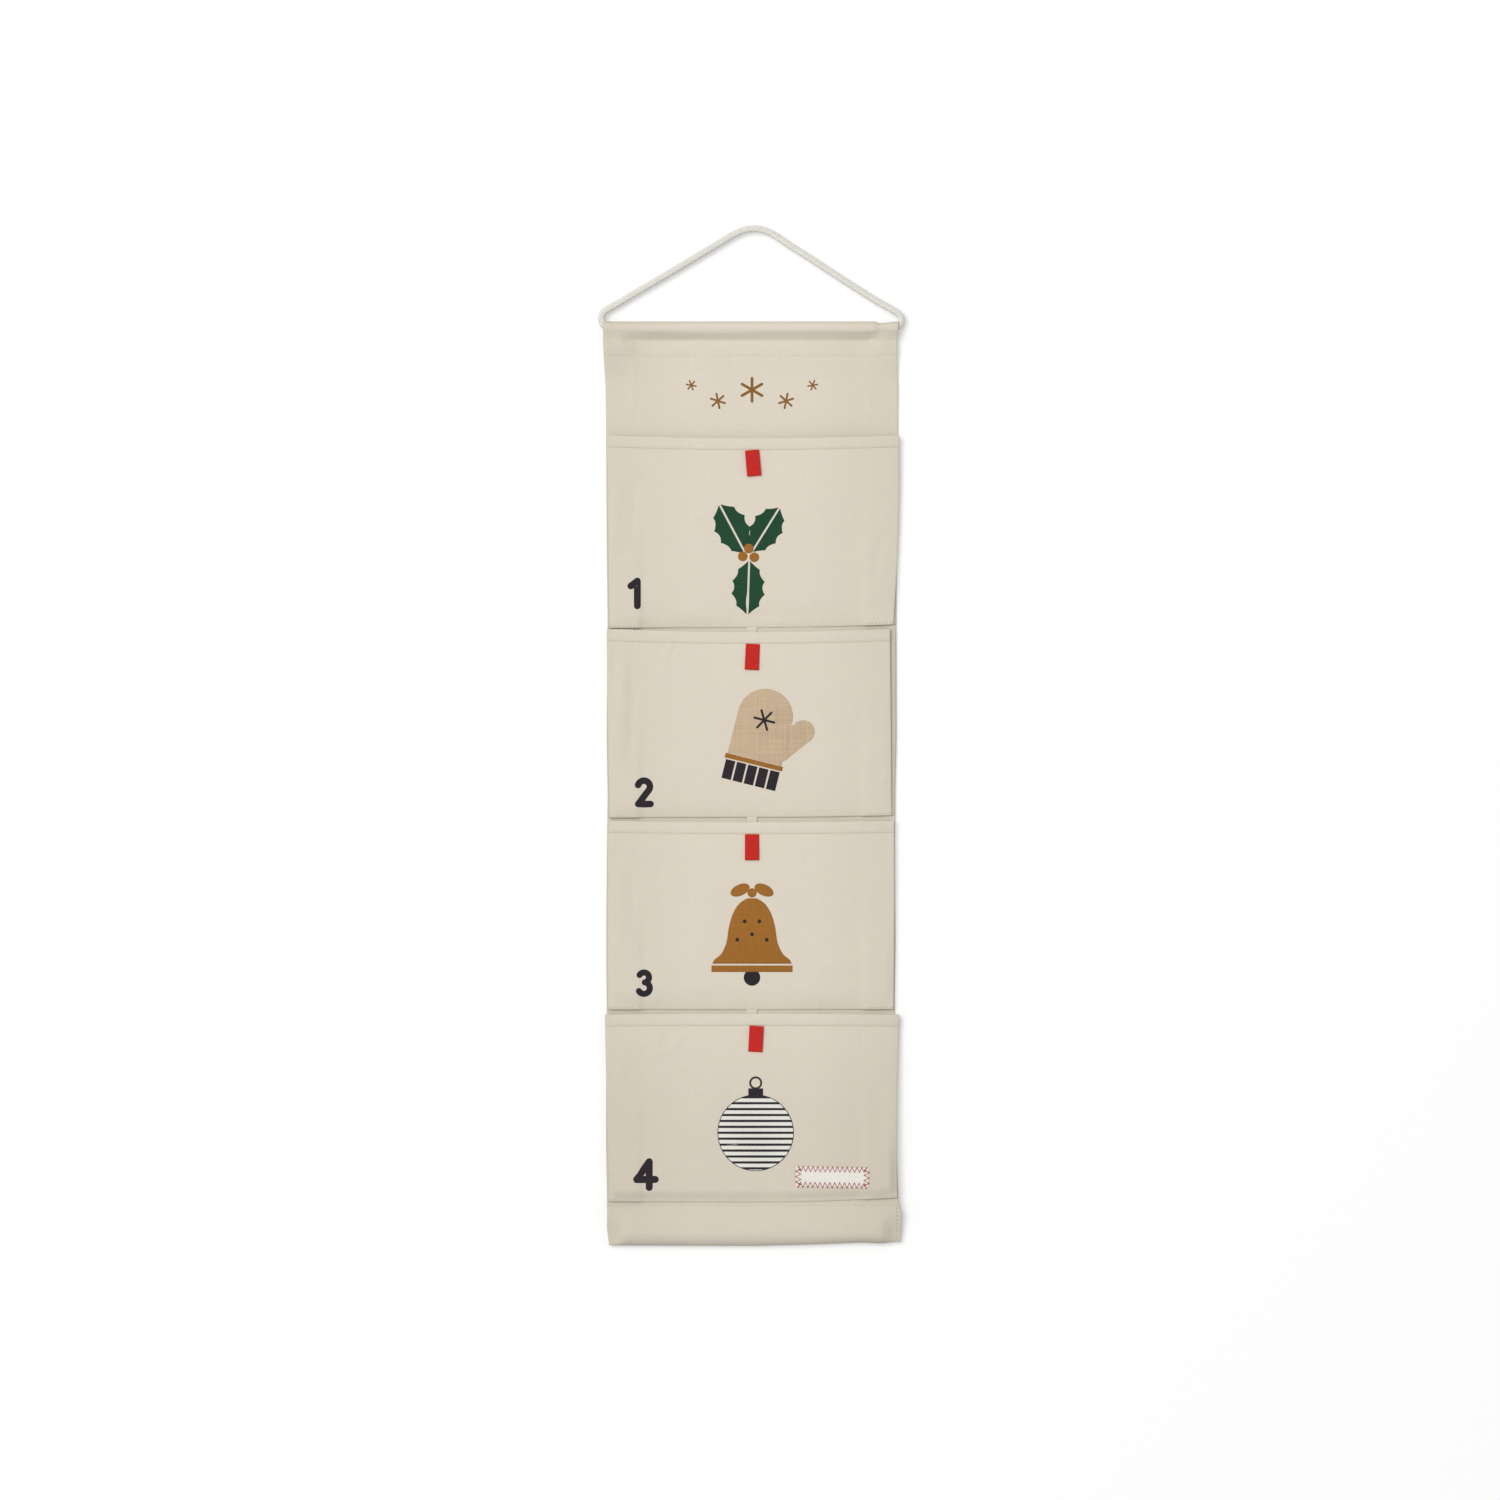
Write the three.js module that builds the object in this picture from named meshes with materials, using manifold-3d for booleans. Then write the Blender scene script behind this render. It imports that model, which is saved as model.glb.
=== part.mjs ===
// Hanging cloth calendar: a canvas banner on a cotton loop, with a rod in each end and four bellows pockets.
//
// Sizes are in millimetres. X runs to the right, Y to the back and Z up.
// The origin is the place where the loop hangs, under the cord at the top of its bend.
// Places across the cloth are measured from the banner's centre line.

import * as THREE from 'three';
import { mergeVertices } from 'three/addons/utils/BufferGeometryUtils.js';
import Module from 'manifold-3d';

const wasm = await Module();
wasm.setup();

// Cloth
const cloth = 1;
const seat = 0.3; // left open between two pieces that touch

// Banner
const bannerWidth = 315;
const loopDrop = 97; // from the hanging place down to the banner's top edge
const sideHem = 25; // turned to the back on both long edges

// Cord and rods
const cordDiameter = 7;
const boreClearance = 0.5; // between the cord and what it runs through
const rodWall = 2;
const rodInset = 25; // from the banner's long edges to the rod's ends
const rodChamfer = 0.8;
const tunnelClearance = 0.4; // between a rod and the cloth round it

// Tunnels for the rods
const topTunnel = 37; // from the top edge to the stitch line
const bottomTunnel = 41;
const stitchRoom = 0.2; // half of what the two layers leave open at the stitch line
const rodEndRun = 1.5; // how far a tunnel keeps its full width past the rod's end
const neckRun = 7; // over which the top tunnel draws in to the cord
const neckEase = 0.6; // how much wider than at the lip it still is there
const lipRun = 5; // over which the mouth opens round the cord
const flatRun = 20; // over which the bottom tunnel falls flat
const flatRoom = 0.8; // half of what is left open in the flat end
const flatStand = 3.5; // of the flat end in front of the layer at the back
const flatDrops = [3, -1]; // how far the left and the right flat end hang below the rod's stretch

// Pockets, from the top one down
const pocketHeights = [208, 203.7, 204.7, 202.5];
const pocketDrops = [124, 2.3, 4.3, 5.5]; // from the top edge or the pocket above to a mouth's corners
const pocketTrims = [2, 8, 7, -1]; // how much narrower a mouth is than the banner
const pocketShifts = [0, -3, -2, 0]; // of a pocket's centre line
const mouthSags = [3.5, 3.3, 1.5, -1]; // of a mouth's middle below its corners
const lastPocketRise = 45; // of the last bottom seam above the banner's bottom edge
const pocketTaper = 2.5; // how much each side comes in towards the bottom seam
const hemHeight = 12;
const midDepth = 8.5; // from the banner to the pocket front's back, in the middle
const sideDepth = 4.5; // the same at the sides
const frontRounding = 1.5; // 1 is a front that leaves the banner in a straight line from its bottom seam
const bendShares = [0, 0.08, 0.2, 0.4, 0.65]; // of a pocket's height, where its surfaces bend

// Gussets
const gussetCloth = 0.8;
const gussetFold = 28; // from the banner's edge in to the fold
const gussetInset = 0.5; // of the gusset's edges behind the edges that it is sewn to
const gussetSlack = 0.4; // left open in the fold where it is sewn flat
const foldMargin = 3; // from the fold in to where the front comes down behind it
const foldRun = 10; // over which it comes down

// Pull tabs, a loop of ribbon each
const ribbon = 0.4;
const ribbonWidth = 15;
const tabLength = 28;
const tabLoop = 1; // left open inside the loop's end
const tabSlit = 8; // from the top down to where the two layers part
const tabStand = 0.9; // from the pocket front to the tab's back
const tabGap = 0.9; // under the hem
const tabShifts = [0, 1, 0, 5];
const tabTurns = [4.9, -2.8, 0, -2.9]; // in degrees, in the plane of the cloth

// Centre tapes and label
const tapeWidth = 11;
const tapeThickness = 0.8;
const tapeTuck = 10; // behind the mouth below
const labelWidth = 78;
const labelHeight = 21;
const labelThickness = 0.6;
const labelInset = 32; // from the last pocket's right edge
const labelRise = 27; // of its centre above the last pocket's bottom edge

// Faces across a round form, and one overrun for every cut
const roundSides = 24;
const cordSides = 10;
const cordSteps = 80;
const tailSides = 2;
const loopSides = 8;
const overrun = 5;

// Worked out from the sizes above
const half = bannerWidth / 2;
const topEdge = -loopDrop;
const cordRadius = cordDiameter / 2;
const cordRoom = cordRadius + boreClearance;
const rodRadius = cordRoom + rodWall;
const rodRoom = rodRadius + tunnelClearance;
const rodHalf = half - rodInset;
const layInside = rodRoom; // the inner face of the layer at the back
const backFace = layInside + cloth; // lies on the wall
const panelFront = layInside - cloth;
const topAxis = topEdge - cloth - rodRoom; // of the rod, the cord and the banner's swing
const foldStack = 2 * (seat + gussetCloth) + gussetSlack; // of the gusset sewn flat
const pockets = pocketHeights.map(placedPocket);
const bottomEdge = pockets.at(-1).bottom - lastPocketRise;
const bottomAxis = bottomEdge + cloth + rodRoom;

// Where the cord's centre line runs from the left mouth over the top to the right mouth, as X and Z.
const cordRoute = [
  [-151, -104.4], [-153, -104.4], [-158.2, -103], [-162.1, -99.2], [-163.5, -93.9], [-162.1, -88.6],
  [-158.4, -84.9], [-148, -78.9], [-126.2, -65.9], [-103.8, -52.8], [-81.8, -39.8], [-60.1, -26.8],
  [-38.4, -13.8], [-18.5, -2], [-8.5, 2.2], [1.8, 3.6], [13.4, 1.9], [24, -3.2], [40, -13.9],
  [60.1, -26.6], [78.9, -38.9], [98.3, -51.5], [117.8, -64], [137.5, -76.2], [158, -87.9],
  [160.8, -90.9], [162, -95.4], [160.8, -99.9], [157.5, -103.2], [153, -104.4], [151, -104.4],
];
const cordEnd = cordRoute.at(-1)[0];

function placedPocket(height, i) {
  const runs = [...pocketHeights.slice(0, i), ...pocketDrops.slice(0, i + 1)];
  const top = topEdge - runs.reduce((sum, run) => sum + run);
  const widest = half - pocketTrims[i] / 2;
  return { height, top, bottom: top - height, middle: pocketShifts[i], half: widest, sag: mouthSags[i] };
}

// Rises from 0 to 1 while t does, level at both ends.
function ease(t) {
  const s = Math.min(1, Math.max(0, t));
  return s * s * (3 - 2 * s);
}

// Closed bodies

function bodyOf(points, faces) {
  const geometry = new THREE.BufferGeometry();
  geometry.setAttribute('position', new THREE.Float32BufferAttribute(points.flatMap((p) => p.toArray()), 3));
  geometry.setIndex(faces.flat());
  geometry.computeVertexNormals();
  return geometry;
}

function volumeOf(points, faces) {
  return faces.reduce((sum, [a, b, c]) => sum + points[a].dot(points[b].clone().cross(points[c])), 0);
}

// The faces of a flat end, turned the way that its ring runs.
function endFaces(outline) {
  const turn = Math.sign(THREE.ShapeUtils.area(outline));
  return THREE.ShapeUtils.triangulateShape(outline, []).map(([a, b, c]) => {
    const own = Math.sign(THREE.ShapeUtils.area([outline[a], outline[b], outline[c]]));
    return own === turn ? [a, b, c] : [a, c, b];
  });
}

// A closed body through rings of equally many points. flat gives a point's place in the plane of the ends.
function loft(rings, flat) {
  const count = rings[0].length;
  const faces = [];
  for (let i = 0; i + 1 < rings.length; i++) {
    for (let j = 0; j < count; j++) {
      const a = i * count + j;
      const b = i * count + (j + 1) % count;
      faces.push([a, b, b + count], [a, b + count, a + count]);
    }
  }
  const last = (rings.length - 1) * count;
  for (const [a, b, c] of endFaces(rings[0].map(flat))) faces.push([a, c, b]);
  for (const [a, b, c] of endFaces(rings.at(-1).map(flat))) faces.push([last + a, last + b, last + c]);
  const points = rings.flat();
  const outward = volumeOf(points, faces) > 0;
  return bodyOf(points, outward ? faces : faces.map(([a, b, c]) => [a, c, b]));
}

function drawnOut(section, depth, curveSegments) {
  return new THREE.ExtrudeGeometry(section, { depth, bevelEnabled: false, curveSegments });
}

const acrossX = (p) => new THREE.Vector2(p.y, p.z);
const acrossZ = (p) => new THREE.Vector2(p.x, p.y);

function solidOf(geometry) {
  const bare = geometry.clone();
  bare.deleteAttribute('normal');
  if (bare.attributes.uv) bare.deleteAttribute('uv');
  const merged = mergeVertices(bare);
  return new wasm.Manifold(new wasm.Mesh({
    numProp: 3,
    vertProperties: new Float32Array(merged.attributes.position.array),
    triVerts: new Uint32Array(merged.index.array),
  }));
}

function geometryOf(solid) {
  const mesh = solid.getMesh();
  const geometry = new THREE.BufferGeometry();
  geometry.setAttribute('position', new THREE.BufferAttribute(new Float32Array(mesh.vertProperties), 3));
  geometry.setIndex(new THREE.BufferAttribute(new Uint32Array(mesh.triVerts), 1));
  geometry.computeVertexNormals();
  return geometry;
}

// Cord and rods

function hangingCord() {
  const path = new THREE.CatmullRomCurve3(cordRoute.map(([x, z]) => new THREE.Vector3(x, 0, z)));
  const circle = new THREE.Path().absarc(0, 0, cordRadius, 0, 2 * Math.PI);
  const section = new THREE.Shape(circle.getPoints(cordSides));
  return new THREE.ExtrudeGeometry(section, { extrudePath: path, steps: cordSteps });
}

function cordInnerRun() {
  const run = new THREE.CylinderGeometry(cordRadius, cordRadius, 2 * (cordEnd - seat), cordSides);
  return run.rotateZ(Math.PI / 2);
}

// A tube with both rims chamfered.
function rod() {
  const rim = rodHalf - rodChamfer;
  const profile = [
    [cordRoom, -rodHalf], [rodRadius - rodChamfer, -rodHalf], [rodRadius, -rim],
    [rodRadius, rim], [rodRadius - rodChamfer, rodHalf], [cordRoom, rodHalf], [cordRoom, -rodHalf],
  ];
  const tube = new THREE.LatheGeometry(profile.map(([r, x]) => new THREE.Vector2(r, x)), roundSides);
  return tube.rotateZ(Math.PI / 2);
}

// The banner, one sheet with its long edges and both its ends turned to the back

// A tunnel's section: round at its head, and drawn out by two tangents to its tail at the stitch line.
function dropSection(head, tail, grow) {
  const away = new THREE.Vector2().subVectors(tail.at, head.at);
  const spread = Math.acos((head.radius - tail.radius) / away.length());
  const toTail = away.angle();
  const headArc = arc(head, grow, toTail + spread, toTail + 2 * Math.PI - spread, roundSides);
  const tailArc = arc(tail, grow, toTail - spread, toTail + spread, tailSides);
  return [...headArc, ...tailArc];
}

function arc(circle, grow, from, to, sides) {
  return Array.from({ length: sides + 1 }, (_, i) => {
    const angle = from + (to - from) * i / sides;
    const radius = circle.radius + grow;
    return new THREE.Vector2(radius * Math.cos(angle), radius * Math.sin(angle)).add(circle.at);
  });
}

// The heads of a tunnel's left half, from those of a right half outwards.
function mirrored(heads) {
  return heads.map((head) => ({ ...head, x: -head.x })).reverse();
}

function topHeads() {
  const at = new THREE.Vector2(0, topAxis);
  const lip = half - lipRun;
  const neck = rodHalf + rodEndRun + neckRun;
  const opening = rodRoom - cordRoom;
  const lipShares = [[0, 0], [0.6, 0.375], [1, 1]];
  const right = [
    { x: rodHalf + rodEndRun, radius: rodRoom, at },
    { x: neck, radius: cordRoom + neckEase, at },
    ...lipShares.map(([along, open]) => ({ x: lip + along * lipRun, radius: cordRoom + open * opening, at })),
  ];
  return [...mirrored(right), ...right];
}

// Outwards from where the rod ends.
function fallingHeads(drop) {
  const round = new THREE.Vector2(0, bottomAxis);
  const flat = new THREE.Vector2(layInside - flatRoom - flatStand, bottomEdge - drop + cloth + flatRoom);
  return [
    { x: rodHalf + rodEndRun, radius: rodRoom, at: round },
    { x: rodHalf + rodEndRun + flatRun, radius: flatRoom, at: flat },
    { x: half, radius: flatRoom, at: flat },
  ];
}

function bottomHeads() {
  const [left, right] = flatDrops.map(fallingHeads);
  return [...mirrored(left), ...right];
}

function tunnelBody(heads, stitchLine, grow) {
  const tail = { at: new THREE.Vector2(layInside - stitchRoom, stitchLine), radius: stitchRoom };
  const rings = heads.map((head) => (
    dropSection(head, tail, grow).map((p) => new THREE.Vector3(head.x, p.x, p.y))
  ));
  return solidOf(loft(rings, acrossX));
}

// Past its mouths a cut goes on as wide as it is there.
function runPast(heads) {
  const [first, last] = [heads[0], heads.at(-1)];
  return [{ ...first, x: first.x - overrun }, ...heads, { ...last, x: last.x + overrun }];
}

function sheetWithSideHems(low, high) {
  const section = new THREE.Shape();
  section.moveTo(cloth - half, panelFront);
  section.lineTo(half - cloth, panelFront);
  section.absarc(half - cloth, layInside, cloth, -Math.PI / 2, Math.PI / 2);
  section.lineTo(half - sideHem, backFace);
  section.lineTo(half - sideHem, layInside);
  section.lineTo(sideHem - half, layInside);
  section.lineTo(sideHem - half, backFace);
  section.absarc(cloth - half, layInside, cloth, Math.PI / 2, 1.5 * Math.PI);
  return solidOf(drawnOut(section, high - low, loopSides).translate(0, 0, low));
}

function backPanel() {
  const topStitch = topEdge - topTunnel;
  const bottomStitch = bottomEdge + bottomTunnel;
  const whole = sheetWithSideHems(bottomStitch, topStitch)
    .add(tunnelBody(topHeads(), topStitch, cloth))
    .add(tunnelBody(bottomHeads(), bottomStitch, cloth))
    .subtract(tunnelBody(runPast(topHeads()), topStitch, 0))
    .subtract(tunnelBody(runPast(bottomHeads()), bottomStitch, 0));
  return geometryOf(whole);
}

// Pockets

// How far a pocket front's back stands from the banner, at a place across and a share of the height.
function depthAt(pocket, x, up) {
  const aside = (x - pocket.middle) / pocket.half;
  const folded = half - gussetInset - gussetFold - foldMargin;
  const seam = seat + (foldStack - seat) * ease((Math.abs(x) - folded + foldRun) / foldRun);
  const open = midDepth - (midDepth - sideDepth) * aside ** 4;
  return seam + (open - seam) * (1 - (1 - up) ** frontRounding);
}

// A place on a pocket front: its X at the mouth, its share of the height, and how much cloth is behind it.
function onPocket(pocket, across, up, out) {
  const share = (across - pocket.middle) / pocket.half;
  const x = across - share * pocketTaper * (1 - up);
  const sag = pocket.sag * (1 - share ** 2) * up;
  const y = panelFront - depthAt(pocket, x, up) - out;
  return new THREE.Vector3(x, y, pocket.bottom + up * pocket.height - sag);
}

// From inside the gusset's fold out to a pocket's edge.
function sidePlaces(fold, edge) {
  const sideShares = [0, 0.35, 0.7, 1];
  return [fold - foldRun, ...sideShares.map((share) => fold + share * (edge - fold))];
}

// Places across a pocket where its surfaces bend.
function bendPlaces(pocket) {
  const fold = half - gussetInset - gussetFold - foldMargin;
  const centreShares = [-0.6, -0.3, 0, 0.3, 0.6];
  const inner = centreShares.map((share) => share * fold);
  const leftSide = sidePlaces(fold, pocket.half - pocket.middle).map((x) => -x).toReversed();
  return [...leftSide, ...inner, ...sidePlaces(fold, pocket.half + pocket.middle)];
}

// The front, with its hem turned forward at the mouth.
function pocketFront(pocket) {
  const hemLine = 1 - hemHeight / pocket.height;
  const ups = [...bendShares, hemLine];
  const rings = bendPlaces(pocket).map((x) => [
    ...ups.map((up) => onPocket(pocket, x, up, cloth)),
    onPocket(pocket, x, hemLine, 2 * cloth),
    onPocket(pocket, x, 1, 2 * cloth),
    onPocket(pocket, x, 1, 0),
    ...ups.toReversed().map((up) => onPocket(pocket, x, up, 0)),
  ]);
  return loft(rings, acrossX);
}

// One fold of cloth between the banner and a pocket's side, with its crease turned inwards.
function gusset(pocket, side) {
  const edge = pocket.middle + side * pocket.half;
  const outer = side * (half - gussetInset);
  const fold = outer - side * gussetFold;
  const crease = fold + side * 2 * gussetCloth;
  const rings = [...bendShares, 1].map((up) => {
    const sewn = onPocket(pocket, edge, up, 0);
    const near = sewn.y + seat;
    const far = panelFront - seat;
    const middle = (near + far) / 2;
    const sewnX = sewn.x - side * gussetInset;
    const outline = [
      [outer, far], [outer, far - gussetCloth], [crease, middle], [sewnX, near + gussetCloth], [sewnX, near],
      [fold, middle - gussetCloth / 2], [fold, middle + gussetCloth / 2],
    ];
    return outline.map(([x, y]) => new THREE.Vector3(x, y, sewn.z));
  });
  return loft(rings, acrossZ);
}

// A folded ribbon that hangs from the hem, seen from its side and drawn out to its width.
function pullTab() {
  const top = ribbon;
  const round = ribbon + tabLoop / 2;
  const low = round - tabLength;
  const outline = new THREE.Shape();
  outline.moveTo(top, 0);
  outline.lineTo(-top, 0);
  outline.lineTo(-round, low);
  outline.absarc(0, low, round, Math.PI, 2 * Math.PI);
  const slit = new THREE.Path();
  slit.moveTo(0, -tabSlit);
  slit.lineTo(-tabLoop / 2, low);
  slit.absarc(0, low, tabLoop / 2, Math.PI, 2 * Math.PI);
  outline.holes.push(slit);
  const loop = drawnOut(outline, ribbonWidth, loopSides);
  // The outline's first direction becomes Y, its second Z, and the width X.
  return loop.translate(0, 0, -ribbonWidth / 2).rotateX(Math.PI / 2).rotateZ(Math.PI / 2);
}

function tabPlace(pocket, i) {
  const under = onPocket(pocket, pocket.middle, 1 - hemHeight / pocket.height, cloth);
  return new THREE.Vector3(tabShifts[i], under.y - tabStand - ribbon, under.z - tabGap);
}

// A narrow tape on the banner, from under a pocket's seam to behind the next mouth.
function centreTape(upper, lower) {
  const high = upper.bottom - seat;
  const low = lower.top - lower.sag - tapeTuck;
  const side = tapeWidth / 2;
  const crown = tapeThickness / 2;
  const front = panelFront - seat - tapeThickness;
  const section = new THREE.Shape();
  section.moveTo(-side, front + tapeThickness);
  section.lineTo(-side, front + crown);
  section.quadraticCurveTo(-side, front, crown - side, front);
  section.lineTo(side - crown, front);
  section.quadraticCurveTo(side, front, side, front + crown);
  section.lineTo(side, front + tapeThickness);
  return drawnOut(section, high - low, tailSides).translate(0, 0, low);
}

// A bare patch that follows the pocket front it is sewn to.
function labelPatch(pocket) {
  const acrossShares = [-0.5, -0.25, 0, 0.25, 0.5];
  const upShares = [-0.5, -0.17, 0.17, 0.5];
  const ups = upShares.map((share) => (labelRise + share * labelHeight) / pocket.height);
  const rings = acrossShares.map((share) => {
    const x = pocket.middle + pocket.half - labelInset + (share - 0.5) * labelWidth;
    return [
      ...ups.map((up) => onPocket(pocket, x, up, cloth + seat + labelThickness)),
      ...ups.toReversed().map((up) => onPocket(pocket, x, up, cloth + seat)),
    ];
  });
  return loft(rings, acrossX);
}

// Materials

function material(color, roughness, metalness = 0) {
  return new THREE.MeshStandardMaterial({ color, roughness, metalness });
}

function mesh(name, geometry, finish, place = new THREE.Vector3(), turn = 0) {
  const piece = new THREE.Mesh(geometry, finish);
  piece.name = name;
  piece.position.copy(place);
  piece.rotation.y = turn;
  return piece;
}

const canvas = () => material(0xdcd2c1, 0.95);
const lining = () => material(0xd6ccba, 0.95);
const cotton = () => material(0xebe7df, 0.9);
const redRibbon = () => material(0xc62d27, 0.7);
const aluminium = () => material(0xb8babd, 0.35, 1);

// The calendar

const calendar = new THREE.Group();

const loop = new THREE.Group();
loop.add(mesh('hanging_cord', hangingCord(), cotton()));
loop.add(mesh('cord_inner_run', cordInnerRun(), cotton(), new THREE.Vector3(0, 0, topAxis)));
calendar.add(loop);

const banner = new THREE.Group();
banner.add(mesh('back_panel', backPanel(), canvas()));
banner.add(mesh('top_rod', rod(), aluminium(), new THREE.Vector3(0, 0, topAxis)));
banner.add(mesh('bottom_rod', rod(), aluminium(), new THREE.Vector3(0, 0, bottomAxis)));
calendar.add(banner);

pockets.forEach((pocket, i) => {
  const number = i + 1;
  const turn = -THREE.MathUtils.degToRad(tabTurns[i]);
  const group = new THREE.Group();
  group.add(mesh(`pocket_front_${number}`, pocketFront(pocket), canvas()));
  group.add(mesh(`gusset_left_${number}`, gusset(pocket, -1), lining()));
  group.add(mesh(`gusset_right_${number}`, gusset(pocket, 1), lining()));
  group.add(mesh(`red_tab_${number}`, pullTab(), redRibbon(), tabPlace(pocket, i), turn));
  calendar.add(group);
});

pockets.slice(1).forEach((lower, i) => {
  banner.add(mesh(`centre_tape_${i + 1}`, centreTape(pockets[i], lower), cotton()));
});
banner.add(mesh('label_patch', labelPatch(pockets.at(-1)), cotton()));

export default calendar;
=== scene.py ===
"""Dresses the hanging cloth calendar: canvas, cotton, ribbon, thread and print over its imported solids.

Lengths are in metres. X runs to the right, Y to the wall and Z up, from the place where the cord hangs.
"""

import math
from types import SimpleNamespace

import bpy
import numpy as np
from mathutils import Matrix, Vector
from mathutils.geometry import delaunay_2d_cdt


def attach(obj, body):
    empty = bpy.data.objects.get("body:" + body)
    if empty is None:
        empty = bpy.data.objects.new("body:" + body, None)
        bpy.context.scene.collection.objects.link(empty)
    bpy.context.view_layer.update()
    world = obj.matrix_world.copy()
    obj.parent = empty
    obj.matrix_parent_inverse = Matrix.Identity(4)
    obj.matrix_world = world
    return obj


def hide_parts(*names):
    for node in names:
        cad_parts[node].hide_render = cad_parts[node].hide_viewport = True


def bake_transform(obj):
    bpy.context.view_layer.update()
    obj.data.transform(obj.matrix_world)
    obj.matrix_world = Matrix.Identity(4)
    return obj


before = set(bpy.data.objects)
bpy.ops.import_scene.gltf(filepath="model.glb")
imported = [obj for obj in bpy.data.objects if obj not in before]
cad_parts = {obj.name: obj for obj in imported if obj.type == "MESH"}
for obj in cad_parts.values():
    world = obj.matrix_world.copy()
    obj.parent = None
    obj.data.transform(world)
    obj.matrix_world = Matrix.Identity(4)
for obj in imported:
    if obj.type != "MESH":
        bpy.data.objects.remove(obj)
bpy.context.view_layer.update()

MM = 0.001
FRONT = np.array([0.0, -1.0, 0.0])
TINY = 1e-9


def in_mm(table):
    """A table of millimetres, in metres."""
    return np.array(table, float) * MM


def ease(t):
    """Rises from 0 to 1 while t does, level at both ends."""
    s = np.clip(t, 0, 1)
    return s * s * (3 - 2 * s)


def mix(a, b, t):
    return a + (b - a) * t


def bend(t, start, leave, end, arrive):
    """A place on a smooth bend from start to end, which leaves and arrives in the directions given."""
    near = (2 * t**3 - 3 * t**2 + 1) * start + (t**3 - 2 * t**2 + t) * leave
    return near + (3 * t**2 - 2 * t**3) * end + (t**3 - t**2) * arrive


# Cloth and the banner, as the solids have them
CLOTH = 1 * MM
CANVAS_CLOTH = 0.6 * MM  # the real thickness, round the middle of what the solids have
LAYER_GAP = 0.05 * MM  # between two layers that are sewn together
SEAT = 0.3 * MM  # between two pieces that touch
BANNER_HALF = 157.5 * MM
TOP_EDGE = -97 * MM
BOTTOM_EDGE = -1097 * MM
SIDE_HEM = 25 * MM
CORD_RADIUS = 3.5 * MM
ROD_ROOM = 6.4 * MM  # inner radius of a tunnel round its rod
ROD_HALF = 132.5 * MM
ROD_END_RUN = 1.5 * MM
LAY_INSIDE = ROD_ROOM
LAY_MIDDLE = LAY_INSIDE + CLOTH / 2
PANEL_FRONT = LAY_INSIDE - CLOTH
PANEL_MIDDLE = LAY_INSIDE - CLOTH / 2
TOP_AXIS = TOP_EDGE - CLOTH - ROD_ROOM
BOTTOM_AXIS = BOTTOM_EDGE + CLOTH + ROD_ROOM
TOP_STITCH = TOP_EDGE - 37 * MM
BOTTOM_STITCH = BOTTOM_EDGE + 41 * MM
FLAP_END = 9 * MM  # of a tunnel's back layer past its stitch line

# Pockets, from the top one down
POCKET_HEIGHTS = in_mm([208, 203.7, 204.7, 202.5])
POCKET_DROPS = in_mm([124, 2.3, 4.3, 5.5])
MOUTH_SAGS = in_mm([3.5, 3.3, 1.5, -1])
# How far each front's left and right corners lie inside the banner's edges, at the mouth and at the seam
MOUTH_INSETS = in_mm([(0.2, -2), (0.2, 7.9), (1.6, 3.4), (-1.9, -2.2)])
SEAM_INSETS = in_mm([(3.1, 4.4), (3.5, 6.2), (1.6, 4.2), (2.7, 0.2)])
SIDE_BULGES = in_mm([(0, 2.2), (0.6, 0), (0.5, 0.5), (0, -1.5)])
SEAM_LIFTS = in_mm([(-0.6, 3.4), (-0.6, 2.2), (0.5, 0.8), (0.8, 5)])
HEM_HEIGHT = 12 * MM
MIDDLE_DEPTH = 8.5 * MM
SIDE_DEPTH = 4.5 * MM
FRONT_ROUNDING = 1.5
GUSSET_CLOTH = 0.8 * MM
GUSSET_FOLD = 28 * MM
GUSSET_INSET = 0.5 * MM
FOLD_AIR = 0.4 * MM
FOLD_STACK = 2 * (SEAT + GUSSET_CLOTH) + FOLD_AIR
FOLD_RUN = 10 * MM
FOLD_PLACE = BANNER_HALF - GUSSET_INSET - GUSSET_FOLD
FLAT_BEFORE_FOLD = 3 * MM
SEWN_FLAT = FOLD_PLACE - FLAT_BEFORE_FOLD


def placed_pocket(i):
    """A pocket's levels and the places of its corners."""
    top = TOP_EDGE - sum(POCKET_HEIGHTS[:i]) - sum(POCKET_DROPS[: i + 1])
    height = POCKET_HEIGHTS[i]
    mouth, seam = (
        (left - BANNER_HALF, BANNER_HALF - right) for left, right in (MOUTH_INSETS[i], SEAM_INSETS[i])
    )
    return SimpleNamespace(
        number=i + 1, body=f"pocket_{i + 1}", top=top, bottom=top - height, height=height,
        mouth=mouth, seam=seam, sag=MOUTH_SAGS[i], bulge=SIDE_BULGES[i], lifts=SEAM_LIFTS[i],
    )


POCKETS = [placed_pocket(i) for i in range(len(POCKET_HEIGHTS))]


# Camera

PHOTO_SIDE = 1500
PIXEL = 1.085 * MM
HANG_PIXEL = (752, 231.9)  # where the origin is in the photograph
CAMERA_AWAY = 6.0


def add_camera():
    data = bpy.data.cameras.new("camera")
    data.lens = data.sensor_width * CAMERA_AWAY / (PHOTO_SIDE * PIXEL)
    camera = bpy.data.objects.new("camera", data)
    across = (PHOTO_SIDE / 2 - HANG_PIXEL[0]) * PIXEL
    up = (HANG_PIXEL[1] - PHOTO_SIDE / 2) * PIXEL
    camera.location = (across, -CAMERA_AWAY, up)
    camera.rotation_euler = (math.pi / 2, 0, 0)
    bpy.context.collection.objects.link(camera)
    bpy.context.scene.camera = camera
    bpy.context.scene.view_settings.view_transform = "Standard"


# Meshes


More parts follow.
